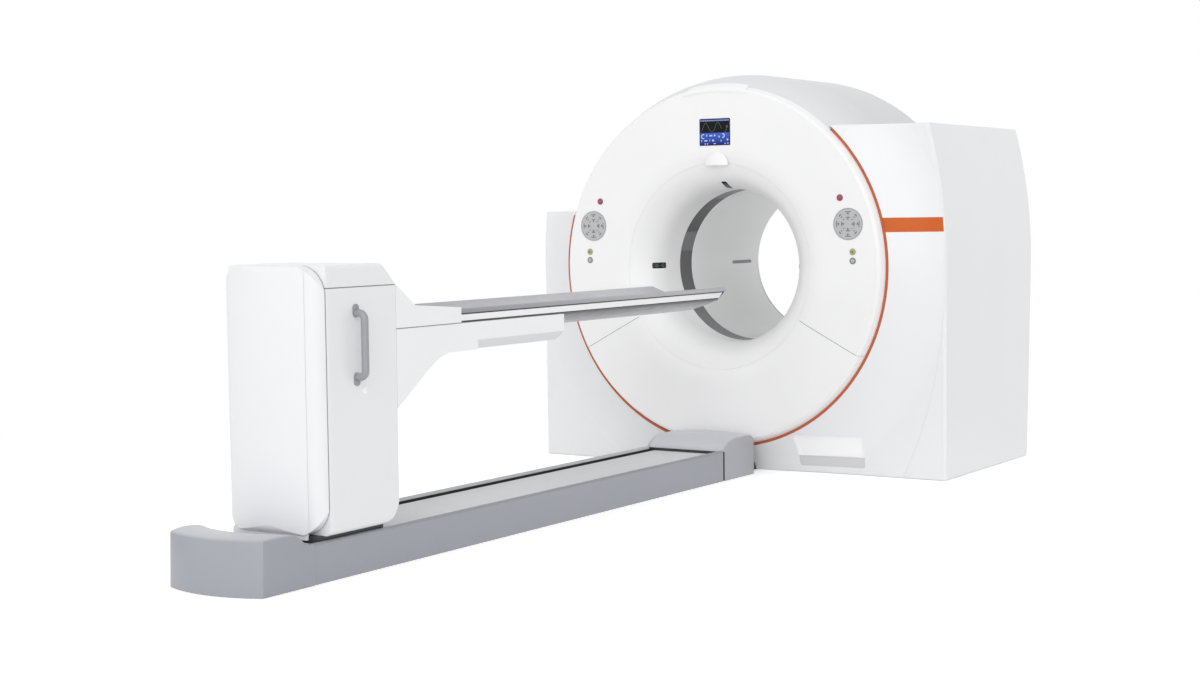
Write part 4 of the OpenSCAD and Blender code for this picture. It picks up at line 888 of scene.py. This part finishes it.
def makeBead():
    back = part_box("trim_strip")[0][1] + 0.001
    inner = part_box("front_cover_upper")[1][0] + beadSet["inside"]
    outer = inner + beadSet["wide"]
    start = math.radians(beadSet["from"])
    ray = Vector((math.cos(start), 0, math.sin(start)))
    front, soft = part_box("trim_strip")[0][1] - beadSet["out"], beadSet["round"]
    profile = ((inner, back), (inner, front + soft), (inner + soft, front), (outer - soft, front),
               (outer, front + soft), (outer, back))
    bm = bmesh.new()
    ring = [bm.verts.new(boreAxis + ray * radius + Vector((0, y, 0))) for radius, y in profile]
    face = bm.faces.new(ring)
    bmesh.ops.spin(bm, geom=[face, *face.edges, *ring], cent=boreAxis, axis=(0, 1, 0),
                   angle=math.radians(beadSet["turn"]), steps=beadSet["steps"], use_duplicate=False)
    bead = makePiece("trim_bead", bm, [bpy.data.materials["trimOrange"]], fixedBody, smooth=True)
    bead.data.set_sharp_from_angle(angle=math.radians(50))


makeBead()


# dark seal showing in the split between the two front covers
sealSet = {"slope": 0.53, "outerSlope": 0.42, "drop": 0.424, "kink": 0.765, "from": 0.44, "to": 0.7895,
           "wide": 0.0026, "proud": 0.0004, "steps": 30, "tone": (0.15, 0.155, 0.16)}


def makeCoverSeal():
    upper, lower = (surfaceTree(name) for name in ("front_cover_upper", "front_cover_lower"))
    bm = bmesh.new()
    half = sealSet["wide"] / 2
    for side in (-1, 1):
        last = None
        for step in range(sealSet["steps"] + 1):
            x = sealSet["from"] + (sealSet["to"] - sealSet["from"]) * step / sealSet["steps"]
            slope = sealSet["slope"] if x <= sealSet["kink"] else sealSet["outerSlope"]
            z = boreAxis.z - sealSet["drop"] + slope * (sealSet["kink"] - x)
            pair = []
            for lift, skin in ((half, upper), (-half, lower)):
                spot = skin.ray_cast(Vector((side * x, -1, z + lift * 1.6)), Vector((0, 1, 0)))[0]
                if spot:
                    pair.append(bm.verts.new((side * x, spot.y - sealSet["proud"], z + lift)))
            if len(pair) < 2:
                last = None
                continue
            if last:
                bm.faces.new((last[0], pair[0], pair[1], last[1]))
            last = pair
    seal = grainMaterial("sealGrey", sealSet["tone"], 0.5, size=0.01)
    makePiece("cover_split_seal", bm, [seal], fixedBody)


makeCoverSeal()
print("rail ends ready")


# floor, which turns into the white background away from the scanner, and even studio light
lightSet = {"world": 0.64, "floor": (0.93, 0.93, 0.93), "floorLift": 0.35, "fadeFrom": 2.2, "fadeTo": 4.5,
            "lamps": (("key_softbox", 1.26, 70, (74, 0, 36)), ("fill_softbox", 0.42, 60, (80, 0, -30)),
                      ("top_softbox", 0.30, 90, (0, 0, 0)))}


def seenDirectly(tree):
    path = tree.nodes.new("ShaderNodeLightPath")
    total = path.outputs["Is Camera Ray"]
    for name in ("Is Glossy Ray", "Is Transmission Ray"):
        total = calculate(tree, "MAXIMUM", total, path.outputs[name])
    return total


def blendShaders(tree, factor, first, second):
    mix = tree.nodes.new("ShaderNodeMixShader")
    tree.links.new(factor, mix.inputs[0])
    tree.links.new(first, mix.inputs[1])
    tree.links.new(second, mix.inputs[2])
    return mix.outputs[0]


def makeFloor():
    bm = bmesh.new()
    bmesh.ops.create_grid(bm, x_segments=1, y_segments=1, size=60)
    mesh = bpy.data.meshes.new("floor")
    bm.to_mesh(mesh)
    bm.free()
    floor = bpy.data.objects.new("floor", mesh)
    scene.collection.objects.link(floor)
    material = bpy.data.materials.new("studioFloor")
    material.use_nodes = True
    tree = material.node_tree
    tree.nodes.clear()
    plain = tree.nodes.new("ShaderNodeBsdfDiffuse")
    plain.inputs["Color"].default_value = (*lightSet["floor"], 1)
    lift = tree.nodes.new("ShaderNodeEmission")
    lift.inputs["Strength"].default_value = lightSet["floorLift"]
    lifted = tree.nodes.new("ShaderNodeAddShader")
    tree.links.new(plain.outputs[0], lifted.inputs[0])
    tree.links.new(lift.outputs[0], lifted.inputs[1])
    white = tree.nodes.new("ShaderNodeEmission")
    centre = (Vector(cadBox[0]) + Vector(cadBox[1])) / 2
    away = radiusFrom(tree, (centre.x, centre.y, 0), (1, 1.3, 1))
    far = spread(tree, away, 0, 1, lightSet["fadeFrom"], lightSet["fadeTo"])
    shown = blendShaders(tree, far, lifted.outputs[0], white.outputs[0])
    out = tree.nodes.new("ShaderNodeOutputMaterial")
    tree.links.new(blendShaders(tree, seenDirectly(tree), plain.outputs[0], shown), out.inputs["Surface"])
    mesh.materials.append(material)


makeFloor()

world = bpy.data.worlds.new("studio")
scene.world = world
world.use_nodes = True
world.cycles.sampling_method = "NONE"    # the studio is even, so its light needs no map
sky = world.node_tree.nodes["Background"]
sky.inputs["Color"].default_value = (1, 1, 1, 1)
brightness = spread(world.node_tree, seenDirectly(world.node_tree), lightSet["world"], 1, 0, 1)
world.node_tree.links.new(brightness, sky.inputs["Strength"])
for name, power, wide, turn in lightSet["lamps"]:
    lamp = bpy.data.lights.new(name, "SUN")
    lamp.energy = power
    lamp.angle = math.radians(wide)
    softbox = bpy.data.objects.new(name, lamp)
    softbox.rotation_euler = [math.radians(angle) for angle in turn]
    scene.collection.objects.link(softbox)
scene.view_settings.view_transform = "Standard"
print("light ready")
